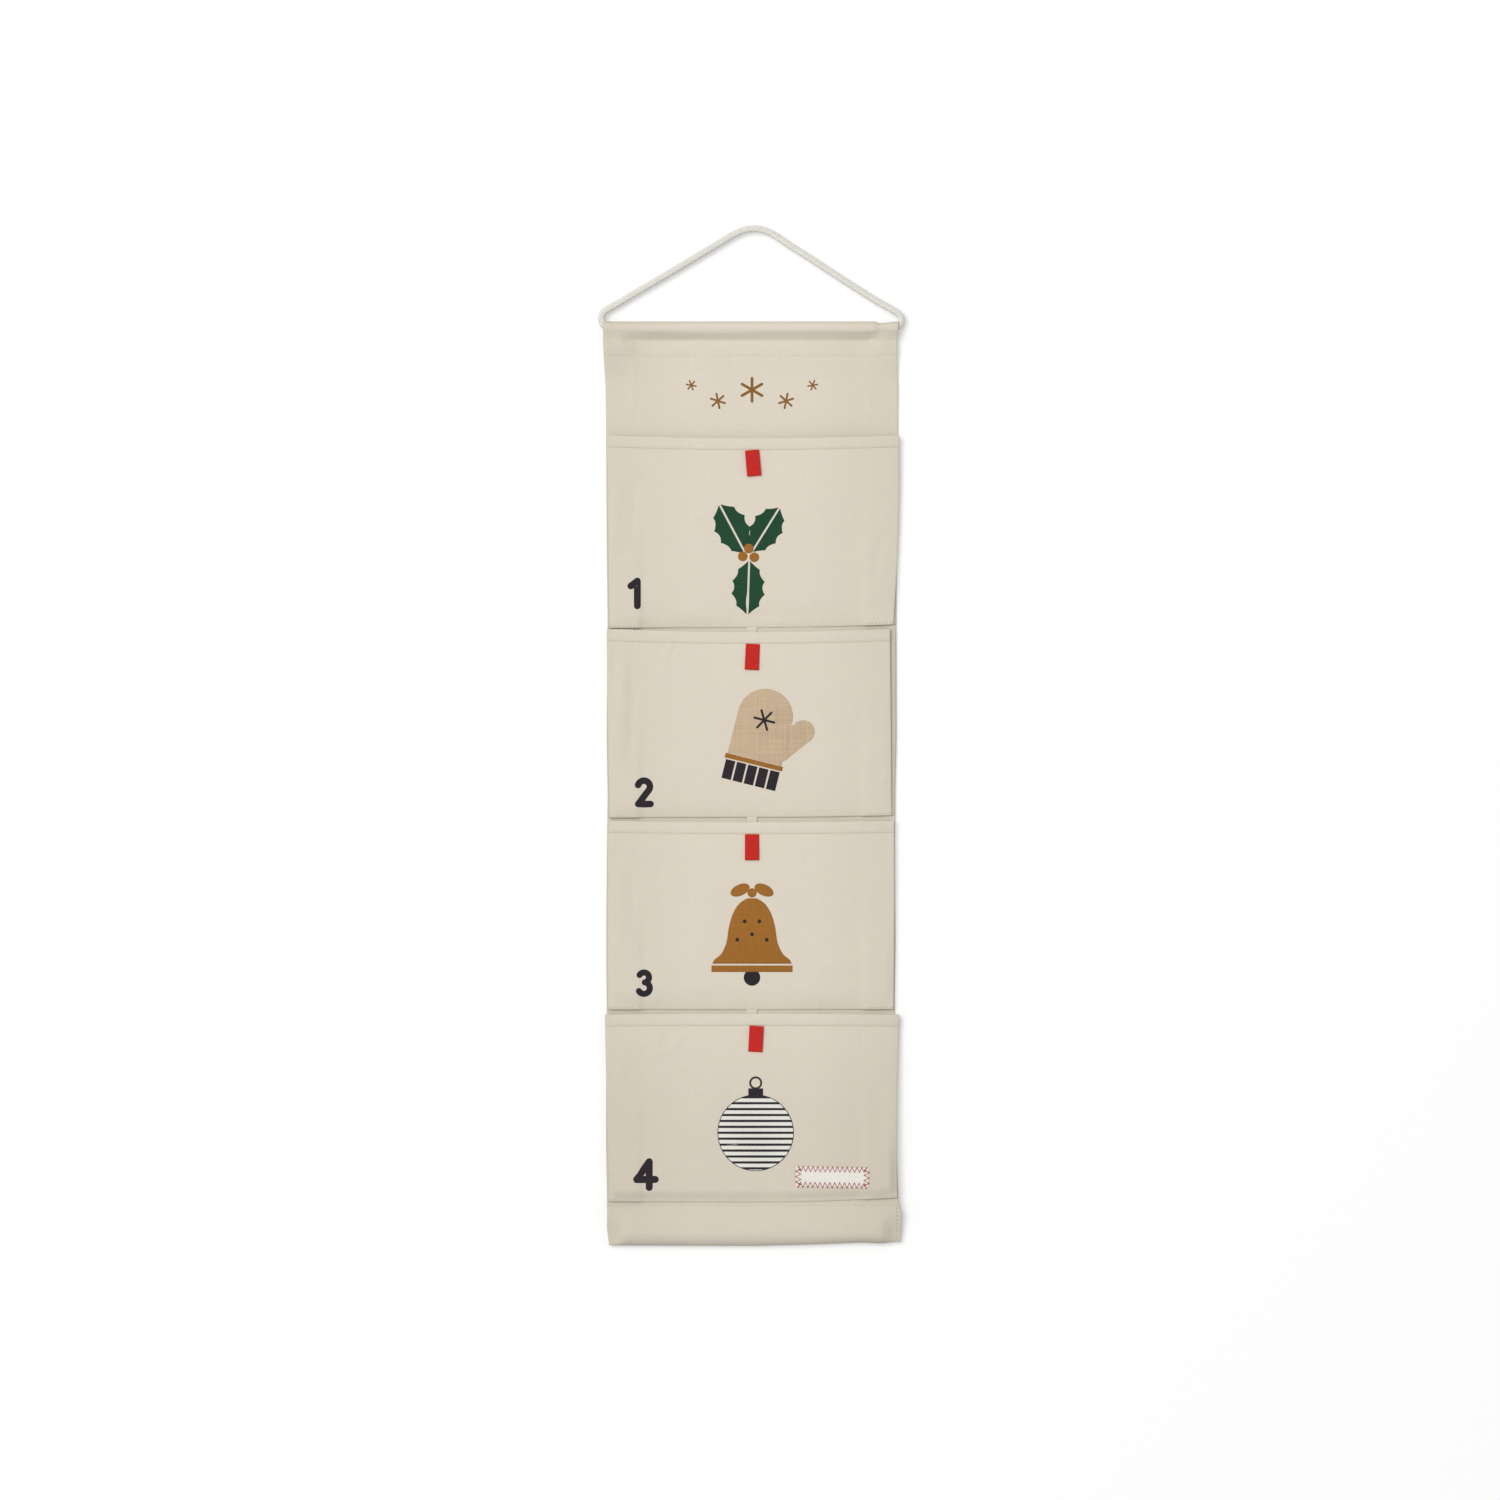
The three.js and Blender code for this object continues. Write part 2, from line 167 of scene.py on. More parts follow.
def add_object(name, mesh, material):
    piece = bpy.data.objects.new(name, mesh)
    mesh.materials.append(material)
    bpy.context.collection.objects.link(piece)
    return piece


def mesh_of(name, points, faces, uvs):
    """A smooth mesh whose faces are turned outwards. uvs gives a place on the cloth for each point."""
    mesh = bpy.data.meshes.new(name)
    if outward_volume(points, faces) < 0:
        faces = [f[:, ::-1] for f in faces]
    mesh.from_pydata(points.tolist(), [], [f for some in faces for f in some.tolist()])
    layer = mesh.uv_layers.new(name="cloth")
    corners = np.zeros(len(mesh.loops), np.int32)
    mesh.loops.foreach_get("vertex_index", corners)
    layer.data.foreach_set("uv", uvs[corners].astype(np.float32).ravel())
    mesh.shade_smooth()
    return mesh


def outward_volume(points, faces):
    total = 0.0
    for some in faces:
        for k in range(1, some.shape[1] - 1):
            a, b, c = points[some[:, 0]], points[some[:, k]], points[some[:, k + 1]]
            total += np.einsum("ij,ij->", a, np.cross(b, c))
    return total


def shell(name, middle, thickness, uvs, material):
    """A sheet of cloth round its middle surface, a grid of points, with a rounded rim."""
    rows, columns = middle.shape[:2]
    down, across = np.gradient(middle, axis=0), np.gradient(middle, axis=1)
    normal = np.cross(across, down)
    normal /= np.linalg.norm(normal, axis=2, keepdims=True)
    out, back = middle + normal * thickness / 2, middle - normal * thickness / 2
    ring, inner = rim_of(rows, columns), rim_of(rows, columns, 1)
    places = middle.reshape(-1, 3)
    away = places[ring] - places[inner]
    away /= np.maximum(np.linalg.norm(away, axis=1, keepdims=True), TINY)
    rim = places[ring] + away * thickness / 2
    points = np.concatenate([out.reshape(-1, 3), back.reshape(-1, 3), rim])
    count = rows * columns
    grid = np.arange(count).reshape(rows, columns)
    quads = np.stack([grid[:-1, :-1], grid[:-1, 1:], grid[1:, 1:], grid[1:, :-1]], -1).reshape(-1, 4)
    following = np.roll(ring, -1)
    edge = 2 * count + np.arange(len(ring))
    next_edge = np.roll(edge, -1)
    front_rim = np.stack([ring, edge, next_edge, following], -1)
    back_rim = np.stack([count + ring, count + following, next_edge, edge], -1)
    # The rim runs the way that its grid does, so its faces turn with the front's.
    faces = [np.concatenate([quads, (count + quads)[:, ::-1], front_rim, back_rim])]
    flat = uvs.reshape(-1, 2)
    mesh = mesh_of(name, points, faces, np.concatenate([flat, flat, flat[ring]]))
    return add_object(name, mesh, material)


def rim_of(rows, columns, inset=0):
    """Numbers of a grid's outer points in order, or of their inner neighbours."""
    grid = np.arange(rows * columns).reshape(rows, columns)
    low, high = inset, -1 - inset
    return np.concatenate([grid[low, :-1], grid[:-1, high], grid[high, :0:-1], grid[:0:-1, low]])


def tube(name, centres, radius, sides, material):
    """A cord along centres, which lie in the plane of the loop."""
    along = np.gradient(centres, axis=0)
    along /= np.linalg.norm(along, axis=1, keepdims=True)
    aside = np.cross(along, FRONT)
    turn = np.linspace(0, 2 * math.pi, sides, endpoint=False)
    spread = np.cos(turn)[None, :, None] * FRONT + np.sin(turn)[None, :, None] * aside[:, None, :]
    points = (centres[:, None, :] + radius * spread).reshape(-1, 3)
    gone = np.concatenate([[0], np.cumsum(np.linalg.norm(np.diff(centres, axis=0), axis=1))])
    uvs = np.stack(np.meshgrid(turn * radius, gone), -1).reshape(-1, 2)
    grid = np.arange(len(points)).reshape(len(centres), sides)
    beside = np.roll(grid, -1, axis=1)
    quads = np.stack([grid[:-1], beside[:-1], beside[1:], grid[1:]], -1).reshape(-1, 4)
    caps = [grid[:1, ::-1], grid[-1:]]
    return add_object(name, mesh_of(name, points, [quads, *caps], uvs), material)


def belongs(piece, body, node=None):
    """Lets a piece move with its body, and stand for a solid where there is one."""
    if node:
        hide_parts(node)
    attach(piece, body)
    return piece


# Small irregularities of the cloth

NOISE_SIDE = 64
LEAN = 0.35
# Each kind of unevenness: its cell across and down the cloth, and its height
UNEVEN = in_mm([(70, 110, 1.3), (34, 46, 0.42), (11, 15, 0.07)])
PUCKER_CELL = in_mm([5, 40])
PUCKER_HEIGHT = 0.22 * MM
PUCKER_REACH = 7 * MM
GROOVE_DEPTH = 0.35 * MM
GROOVE_WIDTH = 0.9 * MM
# Where the noise of each piece or seam starts
SEEDS = {
    "banner": 11, "side hems": 13, "top seam": 14, "bottom seam": 15, "fronts": 20, "gussets": 50,
    "mouth hems": 61, "pocket seams": 90,
}
SEEDS_A_FRONT = 5


def wander(u, v, cell, seed):
    """Smooth noise from -1 to 1 that changes over a cell, which may be longer one way than the other."""
    table = np.random.default_rng(seed).uniform(-1, 1, (NOISE_SIDE, NOISE_SIDE))
    s, t = u / cell[0] + NOISE_SIDE, v / cell[1] + NOISE_SIDE
    i, j = np.floor(s).astype(int), np.floor(t).astype(int)
    a, b = ease(s - i), ease(t - j)
    i0, j0, i1, j1 = i % NOISE_SIDE, j % NOISE_SIDE, (i + 1) % NOISE_SIDE, (j + 1) % NOISE_SIDE
    return mix(mix(table[i0, j0], table[i1, j0], a), mix(table[i0, j1], table[i1, j1], a), b)


def unevenness(x, z, seed):
    """How far hanging cloth stands forward of its plain form."""
    lean = x + LEAN * z
    return sum(height * wander(lean, z, cell, seed + k) for k, (*cell, height) in enumerate(UNEVEN))


def creases(x, z, table):
    """Soft ridges, fading out at their ends. Each row has X and Z of both ends, a width and a height."""
    total = 0
    for ax, az, bx, bz, width, height in in_mm(table):
        length = math.hypot(bx - ax, bz - az)
        t = ((x - ax) * (bx - ax) + (z - az) * (bz - az)) / length**2
        aside = ((x - ax) * (bz - az) - (z - az) * (bx - ax)) / length
        total = total + height * np.exp(-((aside / width) ** 2)) * ease(4 * t * (1 - t))
    return total


def sewn_line(x, z, line, seed):
    """The puckers that a row of stitches draws up, and the groove that it lies in."""
    off = z - line
    puckers = PUCKER_HEIGHT * wander(x, z, PUCKER_CELL, seed) * np.exp(-((off / PUCKER_REACH) ** 2))
    return puckers - GROOVE_DEPTH * np.exp(-((off / GROOVE_WIDTH) ** 2))


# Nodes and materials


class Nodes:
    """A node tree, made one node after the other."""

    def __init__(self, tree):
        self.tree = tree

    def feed(self, node, feeds):
        """Gives inputs a value, a socket, or a node's first output."""
        for key, value in feeds.items():
            if isinstance(value, bpy.types.Node):
                value = value.outputs[0]
            if isinstance(value, bpy.types.NodeSocket):
                self.tree.links.new(value, node.inputs[key])
            else:
                node.inputs[key].default_value = value

    def add(self, kind, feeds=None, **settings):
        node = self.tree.nodes.new(kind)
        for key, value in settings.items():
            setattr(node, key, value)
        self.feed(node, feeds or {})
        return node

    def math(self, operation, *values):
        return self.add("ShaderNodeMath", dict(enumerate(values)), operation=operation)

    def plus(self, a, b):
        return self.math("ADD", a, b)

    def times(self, a, b):
        return self.math("MULTIPLY", a, b)


class Finish(Nodes):
    """The nodes of a material."""

    def __init__(self, name):
        self.material = bpy.data.materials.new(name)
        self.material.use_nodes = True
        super().__init__(self.material.node_tree)
        self.shader = self.tree.nodes["Principled BSDF"]

    def on_cloth(self):
        """The place that the cloth's uv map gives, and its parts across and along."""
        place = self.add("ShaderNodeUVMap", uv_map="cloth")
        parts = self.add("ShaderNodeSeparateXYZ", {0: place})
        return place, parts.outputs[0], parts.outputs[1]

    def in_space(self):
        return self.add("ShaderNodeTexCoord").outputs["Object"]

    def noise(self, place, scale, detail=2.0):
        """Noise of one scale, or stretched by one scale for each direction."""
        if isinstance(scale, tuple):
            place = self.add("ShaderNodeMapping", {"Vector": place, "Scale": scale})
            scale = 1.0
        return self.add("ShaderNodeTexNoise", {"Vector": place, "Scale": scale, "Detail": detail})

    def spread(self, value, low, high):
        """A value's range from low to high, made 0 to 1."""
        return self.add("ShaderNodeMapRange", {"Value": value, "From Min": low, "From Max": high})

    def mixed(self, factor, under, over, way="MIX"):
        """One colour laid over another."""
        under, over = ((*color, 1) if isinstance(color, tuple) else color for color in (under, over))
        feeds = {"Factor": factor, "A": under, "B": over}
        return self.add("ShaderNodeMix", feeds, data_type="RGBA", blend_type=way).outputs["Result"]

    def toned(self, tone, between, color, shares):
        """A colour from darker to lighter, while the tone goes from one value to the other."""
        return self.mixed(self.spread(tone, *between), *(shaded(color, share) for share in shares))

    def bump(self, height, strength, depth):
        bump = self.add("ShaderNodeBump", {"Height": height, "Strength": strength, "Distance": depth})
        self.feed(self.shader, {"Normal": bump})

    def done(self, color, roughness, sheen=0.0, metallic=0.0, shine=0.15):
        self.feed(self.shader, {
            "Base Color": color, "Roughness": roughness, "Sheen Weight": sheen, "Metallic": metallic,
            "Specular IOR Level": shine,
        })
        return self.material


SRGB_TOP = 255
SRGB_OFFSET = 0.055
SRGB_POWER = 2.4


def linear(red, green, blue):
    """A picture's colour, 0 to 255, as the light that it stands for."""
    return tuple(
        ((c / SRGB_TOP + SRGB_OFFSET) / (1 + SRGB_OFFSET)) ** SRGB_POWER for c in (red, green, blue)
    )


def shaded(color, share):
    return tuple(min(1.0, c * share) for c in color)


# Each look holds scales of a material's noise, shares in its mixes, and its range of tones and of shades
THREAD_PITCH = 0.62 * MM
THREAD_DEPTH = 0.12 * MM
SLUB_LENGTH = 24  # times its thickness
WOVEN_LOOK = {"broad": 9.0, "thread tone": 0.72, "tones": (0.36, 0.64), "lighter": 0.6, "slub relief": 1.4}
FLECKS = {"scale": (260, 620, 1), "between": (0.66, 0.8), "strength": 0.14, "shade": 0.72}
# Painted shade on woven cloth: a darker tint towards the sides and towards the foot
SHADED_SIDES_RANGE = (65 * MM, 160 * MM)  # from the middle out to the sides
PAINTED_SHADE_TINT = (0.5, 0.48, 0.43)
SHADED_FOOT_RANGE = (840 * MM, 980 * MM)  # from the plain cloth down to the painted shade


def weave(nodes, across, along, pitch):
    """The height of a plain weave: warp and weft threads that pass over each other in turn."""
    warp, weft = (nodes.math("SINE", nodes.times(place, math.pi / pitch)) for place in (across, along))
    over = nodes.math("GREATER_THAN", nodes.times(warp, weft), 0.0)
    rise, other = (nodes.math("ABSOLUTE", wave) for wave in (warp, weft))
    return nodes.plus(rise, nodes.times(nodes.math("SUBTRACT", other, rise), over))


def woven(name, color, pitch=THREAD_PITCH, contrast=0.035, sheen=0.03, slub=1100, relief=0.3, painted_shade=0.0):
    """Woven cloth, with painted shade that darkens it towards its sides and its foot."""
    look, nodes = WOVEN_LOOK, Finish(name)
    place, across, along = nodes.on_cloth()
    ways = ((slub, slub / SLUB_LENGTH, 1), (slub / SLUB_LENGTH, slub, 1))
    thread = nodes.times(nodes.plus(*(nodes.noise(place, way, detail=1.0) for way in ways)), 0.5)
    broad = nodes.noise(place, look["broad"], detail=3.0)
    share = look["thread tone"]
    tone = nodes.plus(nodes.times(thread, share), nodes.times(broad, 1 - share))
    body = nodes.toned(tone, look["tones"], color, (1 - contrast, 1 + contrast * look["lighter"]))
    speck = nodes.spread(nodes.noise(place, FLECKS["scale"], detail=0.0), *FLECKS["between"])
    flecked = nodes.mixed(nodes.times(speck, FLECKS["strength"]), body, shaded(color, FLECKS["shade"]))
    height = nodes.plus(weave(nodes, across, along, pitch), nodes.times(thread, look["slub relief"]))
    nodes.bump(height, relief, THREAD_DEPTH)
    # Painted shade: the cloth's colour is darkened towards its sides and its foot
    level = nodes.add("ShaderNodeSeparateXYZ", {0: nodes.in_space()}).outputs[2]
    sides = nodes.spread(nodes.math("ABSOLUTE", across), *SHADED_SIDES_RANGE)
    foot = nodes.spread(nodes.math("ABSOLUTE", level), *SHADED_FOOT_RANGE)
    shade_mask = nodes.times(nodes.plus(sides, foot), painted_shade)
    return nodes.done(nodes.mixed(shade_mask, flecked, PAINTED_SHADE_TINT, "MULTIPLY"), roughness=0.92, sheen=sheen)


BRAID_STRANDS = 4
BRAID_PITCH = 7 * MM
BRAID_DEPTH = 0.35 * MM
BRAID_LOOK = {
    "mottle": (160, 90, 1), "fibre": (2400, 700, 1), "strand tone": 0.22, "fibre relief": 0.7,
    "tones": (0.3, 0.85), "shades": (0.91, 1.03),
}


def braided(name, color):
    """Braided cotton: two sets of strands that wind round the cord against each other."""
    look, nodes = BRAID_LOOK, Finish(name)
    place, across, along = nodes.on_cloth()
    round_turn = nodes.times(across, BRAID_STRANDS / CORD_RADIUS)
    along_turn = nodes.times(along, 2 * math.pi / BRAID_PITCH)
    winds = (nodes.math("SINE", nodes.math(way, round_turn, along_turn)) for way in ("ADD", "SUBTRACT"))
    strand = nodes.math("MAXIMUM", *winds)
    mottle = nodes.noise(place, look["mottle"], detail=3.0)
    tone = nodes.plus(nodes.times(strand, look["strand tone"]), mottle)
    body = nodes.toned(tone, look["tones"], color, look["shades"])
    fibre = nodes.times(nodes.noise(place, look["fibre"]), look["fibre relief"])
    nodes.bump(nodes.plus(strand, fibre), strength=0.5, depth=BRAID_DEPTH)
    return nodes.done(body, roughness=0.9, sheen=0.06)


RIB_PITCH = 0.9 * MM
RIB_DEPTH = 0.15 * MM
RIB_LOOK = {"grain": (900, 260, 1), "rib tone": 0.12, "tones": (0.3, 0.75), "shades": (0.82, 1.12)}


def ribbed(name, color):
    """Ribbon with fine ribs across it."""
    look, nodes = RIB_LOOK, Finish(name)
    place, _, along = nodes.on_cloth()
    rib = nodes.math("SINE", nodes.times(along, 2 * math.pi / RIB_PITCH))
    grain = nodes.noise(place, look["grain"])
    tone = nodes.plus(nodes.times(rib, look["rib tone"]), grain)
    body = nodes.toned(tone, look["tones"], color, look["shades"])
    nodes.bump(nodes.plus(rib, grain), strength=0.4, depth=RIB_DEPTH)
    return nodes.done(body, roughness=0.62, sheen=0.02)


PLY_DEPTH = 0.1 * MM
PLY_LOOK = {"ply": 2600.0, "tones": (0.3, 0.7), "shades": (0.78, 1.08)}


def spun(name, color):
    """Sewing thread, plied from finer strands."""
    look, nodes = PLY_LOOK, Finish(name)
    ply = nodes.noise(nodes.in_space(), look["ply"])
    nodes.bump(ply, strength=0.4, depth=PLY_DEPTH)
    body = nodes.toned(ply, look["tones"], color, look["shades"])
    return nodes.done(body, roughness=0.7, sheen=0.02)


DRAWN_DEPTH = 0.05 * MM
DRAWN_LOOK = {
    "lines": (6, 1800, 1800), "stain": 60.0, "line tone": 0.6, "tones": (0.3, 0.7), "shades": (0.86, 1),
    "stain roughness": 0.2, "least roughness": 0.24,
}


def drawn_tube(name, color):
    """Aluminium tube with the faint lines that drawing leaves along it."""
    look, nodes = DRAWN_LOOK, Finish(name)
    place = nodes.in_space()
    lines = nodes.noise(place, look["lines"], detail=3.0)
    stain = nodes.noise(place, look["stain"], detail=4.0)
    share = look["line tone"]
    tone = nodes.plus(nodes.times(lines, share), nodes.times(stain, 1 - share))
    body = nodes.toned(tone, look["tones"], color, look["shades"])
    nodes.bump(lines, strength=0.15, depth=DRAWN_DEPTH)
    roughness = nodes.plus(nodes.times(stain, look["stain roughness"]), look["least roughness"])
    return nodes.done(body, roughness, metallic=1.0, shine=0.5)


LINING_PITCH = 0.45 * MM
TAPE_PITCH = 0.5 * MM
LABEL_PITCH = 0.35 * MM
# The canvas carries painted shade towards its sides and its foot
CANVAS = woven("canvas", linear(222, 213, 197), painted_shade=0.14)
LINING = woven("lining", linear(208, 198, 181), pitch=LINING_PITCH, relief=0.2)
TAPE = woven("cotton_tape", linear(226, 218, 203), pitch=TAPE_PITCH, contrast=0.05)
LABEL = woven("label_cloth", linear(236, 232, 223), pitch=LABEL_PITCH, contrast=0.05, relief=0.2)
COTTON = braided("braided_cotton", linear(232, 230, 221))
RIBBON = ribbed("red_ribbon", linear(199, 37, 31))
THREAD = spun("cream_thread", linear(214, 204, 187))
DARK_THREAD = spun("shaded_thread", linear(176, 162, 142))
RED_THREAD = spun("red_thread", linear(166, 40, 36))
ALUMINIUM = drawn_tube("drawn_aluminium", linear(214, 215, 217))
INKS = {
    "green": woven("green_ink", linear(36, 73, 51), contrast=0.2, sheen=0.0),
    "linen": woven("linen_ink", linear(202, 178, 148), contrast=0.14, slub=420, sheen=0.0),
    "ochre": woven("ochre_ink", linear(158, 106, 46), contrast=0.16, sheen=0.0),
    "brown": woven("brown_ink", linear(140, 98, 50), contrast=0.16, sheen=0.0),
    "charcoal": woven("charcoal_ink", linear(47, 42, 47), contrast=0.2, sheen=0.0),
    "white": woven("white_ink", linear(230, 230, 220), contrast=0.05, sheen=0.0),
}


# The cord

# The centre line of the loop from the left mouth to the right one, as X and Z in millimetres
CORD_ROUTE = [
    (-151, -104.4), (-153, -104.4), (-158.2, -103), (-162.1, -99.2), (-163.5, -93.9), (-162.1, -88.6),
    (-158.4, -84.9), (-148, -78.9), (-126.2, -65.9), (-103.8, -52.8), (-81.8, -39.8), (-60.1, -26.8),
    (-38.4, -13.8), (-18.5, -2), (-8.5, 2.2), (1.8, 3.6), (13.4, 1.9), (24, -3.2), (40, -13.9),
    (60.1, -26.6), (78.9, -38.9), (98.3, -51.5), (117.8, -64), (137.5, -76.2), (158, -87.9),
    (160.8, -90.9), (162, -95.4), (160.8, -99.9), (157.5, -103.2), (153, -104.4), (151, -104.4),
]
CORD_SIDES = 24
STEPS_A_SPAN = 12
STEPS_IN_TUNNEL = 60


def through_points(points, steps):
    """A smooth line through points that keeps close to them where they stand unevenly."""
    ends = [2 * points[0] - points[1], *points, 2 * points[-1] - points[-2]]
    line = []
    for a, b, c, d in zip(ends, ends[1:], ends[2:], ends[3:]):
        ta, tb, tc = (math.sqrt(np.linalg.norm(q - p)) for p, q in ((a, b), (b, c), (c, d)))
        leave = ((b - a) / ta - (c - a) / (ta + tb) + (c - b) / tb) * tb
        arrive = ((c - b) / tb - (d - b) / (tb + tc) + (d - c) / tc) * tb
        line += [bend(k / steps, b, leave, c, arrive) for k in range(steps)]
    return np.array([*line, points[-1]])


def hanging_cord():
    centres = through_points([in_mm([x, 0, z]) for x, z in CORD_ROUTE], STEPS_A_SPAN)
    piece = tube("cord_loop", centres, CORD_RADIUS, CORD_SIDES, COTTON)
    belongs(piece, "cord", "hanging_cord")


def cord_in_tunnel():
    end = abs(CORD_ROUTE[0][0]) * MM - SEAT
    x = np.linspace(-end, end, STEPS_IN_TUNNEL)
    centres = np.stack([x, 0 * x, 0 * x + TOP_AXIS], -1)
    piece = tube("cord_in_tunnel", centres, CORD_RADIUS, CORD_SIDES, COTTON)
    belongs(piece, "cord", "cord_inner_run")


# The banner

NECK_PLACES = in_mm([-157.5, -153, -146, -134, 133, 137, 145, 152, 157.5])
NECK_ROOMS = in_mm([7, 6.8, 6.4, 6.4, 6.4, 4.6, 5.2, 6.3, 6.6])
TOP_MEET = TOP_AXIS - 14 * MM  # where the cloth under the top rod hangs straight again
LOW_FALL = 5.1 * MM  # how far above the bottom rod's middle its cloth starts to turn in
LOW_BULGE = 4.5 * MM
LOW_OUT = 1.7 * MM
LOW_PLACES = in_mm([-140, 0, 60, 115, 140])
LOW_DEPTHS = in_mm([3.3, 3.7, 2.3, 0.2, 1.2])
FLAT_RUN = 20 * MM
FLAT_ROOM = 0.8 * MM
FLAT_STAND = 3.5 * MM
FLAT_DROPS = in_mm([3, -1])  # on the left and on the right
# How the cloth leaves the rod or the stitches, and how it arrives below, as shares of the way between
TOP_LEAVE = 1.2
TOP_ARRIVE = np.array([0.0, -0.6])
LOW_LEAVE = np.array([-0.25, -1.0])
LOW_ARRIVE = np.array([0.0, -1.0])
BANNER_STEP = 2.5 * MM
ARC_STEPS = 18
FLAP_STEPS = 9
FLAP_END_STEPS = 3
HUNG_STEPS = 6
SKIN_STEPS = 16
SKIN_SHARES = np.linspace(0, 1, SKIN_STEPS + 1)[1:, None, None]

# How far the cloth's left and right edges stand out from their plain places, at levels from the top down
EDGE_LEVELS = in_mm([
    -97, -117, -140, -170, -225, -330, -420, -547, -612,
    -703, -770, -833, -912, -990, -1050, -1064, -1080, -1097,
])
LEFT_SWAYS = in_mm([3.2, 3.9, 2.8, 1, 0.5, 0, -1, 0, -1, 0, 0.5, 0, 0.5, 0.5, -0.6, -0.8, -0.5, -2.4])
RIGHT_SWAYS = in_mm([1.5, -0.4, 0, 1, 0.5, 0, -1.2, -1, -2.4, -2.4, -2, -2.8, -1.2, -1, 1, 5, 4.4, 3.4])

# The turned side hems and the gussets' folds press through the cloth in front of them
PRESS_PLACE = 131 * MM
PRESS_RUN = 5 * MM
PRESS_CELL = in_mm([200, 55])
PRESS_SHARES = (0.65, 0.35)  # of it that is even, and that changes along the edge
BANNER_PRESS = 0.2 * MM
BANNER_UNEVEN = 0.45

SLACK_PLACES = in_mm([-152, -140, -124, -106, -60, 0, 90, 115, 128, 142])
SLACKS = in_mm([9.5, 8, 4, 2, 2.2, 3.2, 3.4, 2, 2.6, 6.4])
SLACK_RUN = 45 * MM
LOW_STAND = 9 * MM
LOW_RUN = 190 * MM

BANNER_CREASES = [
    (-156, -134, -132, -139, 2.2, -0.7),
    (-150, -112, -128, -134, 5, 0.9),
    (-134, -120, -126, -131, 3, 0.5),
    (-128, -122, -131, -215, 4, 0.5),
    (127, -106, 131, -119, 2.4, -1.8),
    (152.5, -96, 153, -136, 1.4, -0.8),
    (139, -134, 154, -133.5, 1.4, -0.8),
    (127, -130, 129, -215, 4, 0.6),
    (-120, -130, -60, -128, 5, 0.5),
    (127, -1072, 138, -1096, 2.6, 0.5),
    (122, -1078, 130, -1096, 3, -0.4),
    (-135.5, -1058, -134.5, -1094, 1.6, -1.1),
    (-146, -1060, -141, -1092, 4, 0.7),
]


def banner_edges(z):
    """X of the cloth's left and right edges at a level."""
    left, right = (np.interp(-z, -EDGE_LEVELS, sways) for sways in (LEFT_SWAYS, RIGHT_SWAYS))
    return -BANNER_HALF - left, BANNER_HALF + right


def press_through(x, z, height, seed):
    """How far the layers behind the long edges lift the cloth in front of them, more here and less there."""
    share = PRESS_SHARES[0] + PRESS_SHARES[1] * wander(np.sign(x), z, PRESS_CELL, seed)
    return height * share * ease((np.abs(x) - PRESS_PLACE + PRESS_RUN) / PRESS_RUN)


def stand(x, z):
    """How far the cloth hangs in front of its plane: slack under the top rod, and held off at its foot."""
    slack = np.interp(x, SLACK_PLACES, SLACKS) * (1 - ease((TOP_MEET - z) / SLACK_RUN))
    return slack + LOW_STAND * np.clip((BOTTOM_STITCH + LOW_RUN - z) / LOW_RUN, 0, 1)


def panel_rise(x, z):
    """How far the banner's plain part stands forward of its plane."""
    rise = BANNER_UNEVEN * unevenness(x, z, SEEDS["banner"])
    rise = rise + press_through(x, z, BANNER_PRESS, SEEDS["side hems"])
    for line, seam in ((TOP_STITCH, "top seam"), (BOTTOM_STITCH, "bottom seam")):
        rise = rise + sewn_line(x, z, line, SEEDS[seam])
    return rise + creases(x, z, BANNER_CREASES)


def tangent_turn(dy, dz, radius, side):
    """The angle at which a straight line from a place leaves a circle, on the side given."""
    away = np.hypot(dy, dz)
    return np.arctan2(dz, dy) + side * np.arccos(np.clip(radius / away, -1, 1))


def at_level(y, x, z):
    """A row of Y and Z at one level."""
    return np.stack([y + 0 * x, 0 * x + z], -1)


def top_tunnel(x):
    """Rows of Y and Z: from the back layer's end up and over the rod, and in front down to the stitches."""
    room = np.interp(x, NECK_PLACES, NECK_ROOMS) + CLOTH / 2
    meet = PANEL_MIDDLE - stand(x, TOP_MEET)
    back = tangent_turn(LAY_MIDDLE - stand(x, TOP_STITCH), TOP_STITCH - TOP_AXIS, room, 1)
    front = tangent_turn(meet, TOP_MEET - TOP_AXIS, room, -1) + 2 * math.pi
    turn = mix(back, front, np.linspace(0, 1, ARC_STEPS + 1)[:, None])
    arc = np.stack([room * np.cos(turn), TOP_AXIS + room * np.sin(turn)], -1)
    flap, low = (
        at_level(LAY_MIDDLE - stand(x, level), x, level) for level in (TOP_STITCH - FLAP_END, TOP_STITCH)
    )
    rear = [mix(flap, low, t) for t in np.linspace(0, 1, FLAP_END_STEPS + 1, endpoint=False)]
    rear += [mix(low, arc[0], t) for t in np.linspace(0, 1, FLAP_STEPS, endpoint=False)]
    met = at_level(meet, x, TOP_MEET)
    reach = np.linalg.norm(met - arc[-1], axis=1, keepdims=True)
    leave = np.stack([-np.sin(turn[-1]), np.cos(turn[-1])], -1) * reach
    skin = bend(SKIN_SHARES, arc[-1], TOP_LEAVE * leave, met, TOP_ARRIVE * reach)
    levels = np.linspace(TOP_MEET, TOP_STITCH, HUNG_STEPS + 1)[1:]
    hung = [at_level(PANEL_MIDDLE - stand(x, level), x, level) for level in levels]
    return np.concatenate([rear, arc]), np.concatenate([skin, hung])


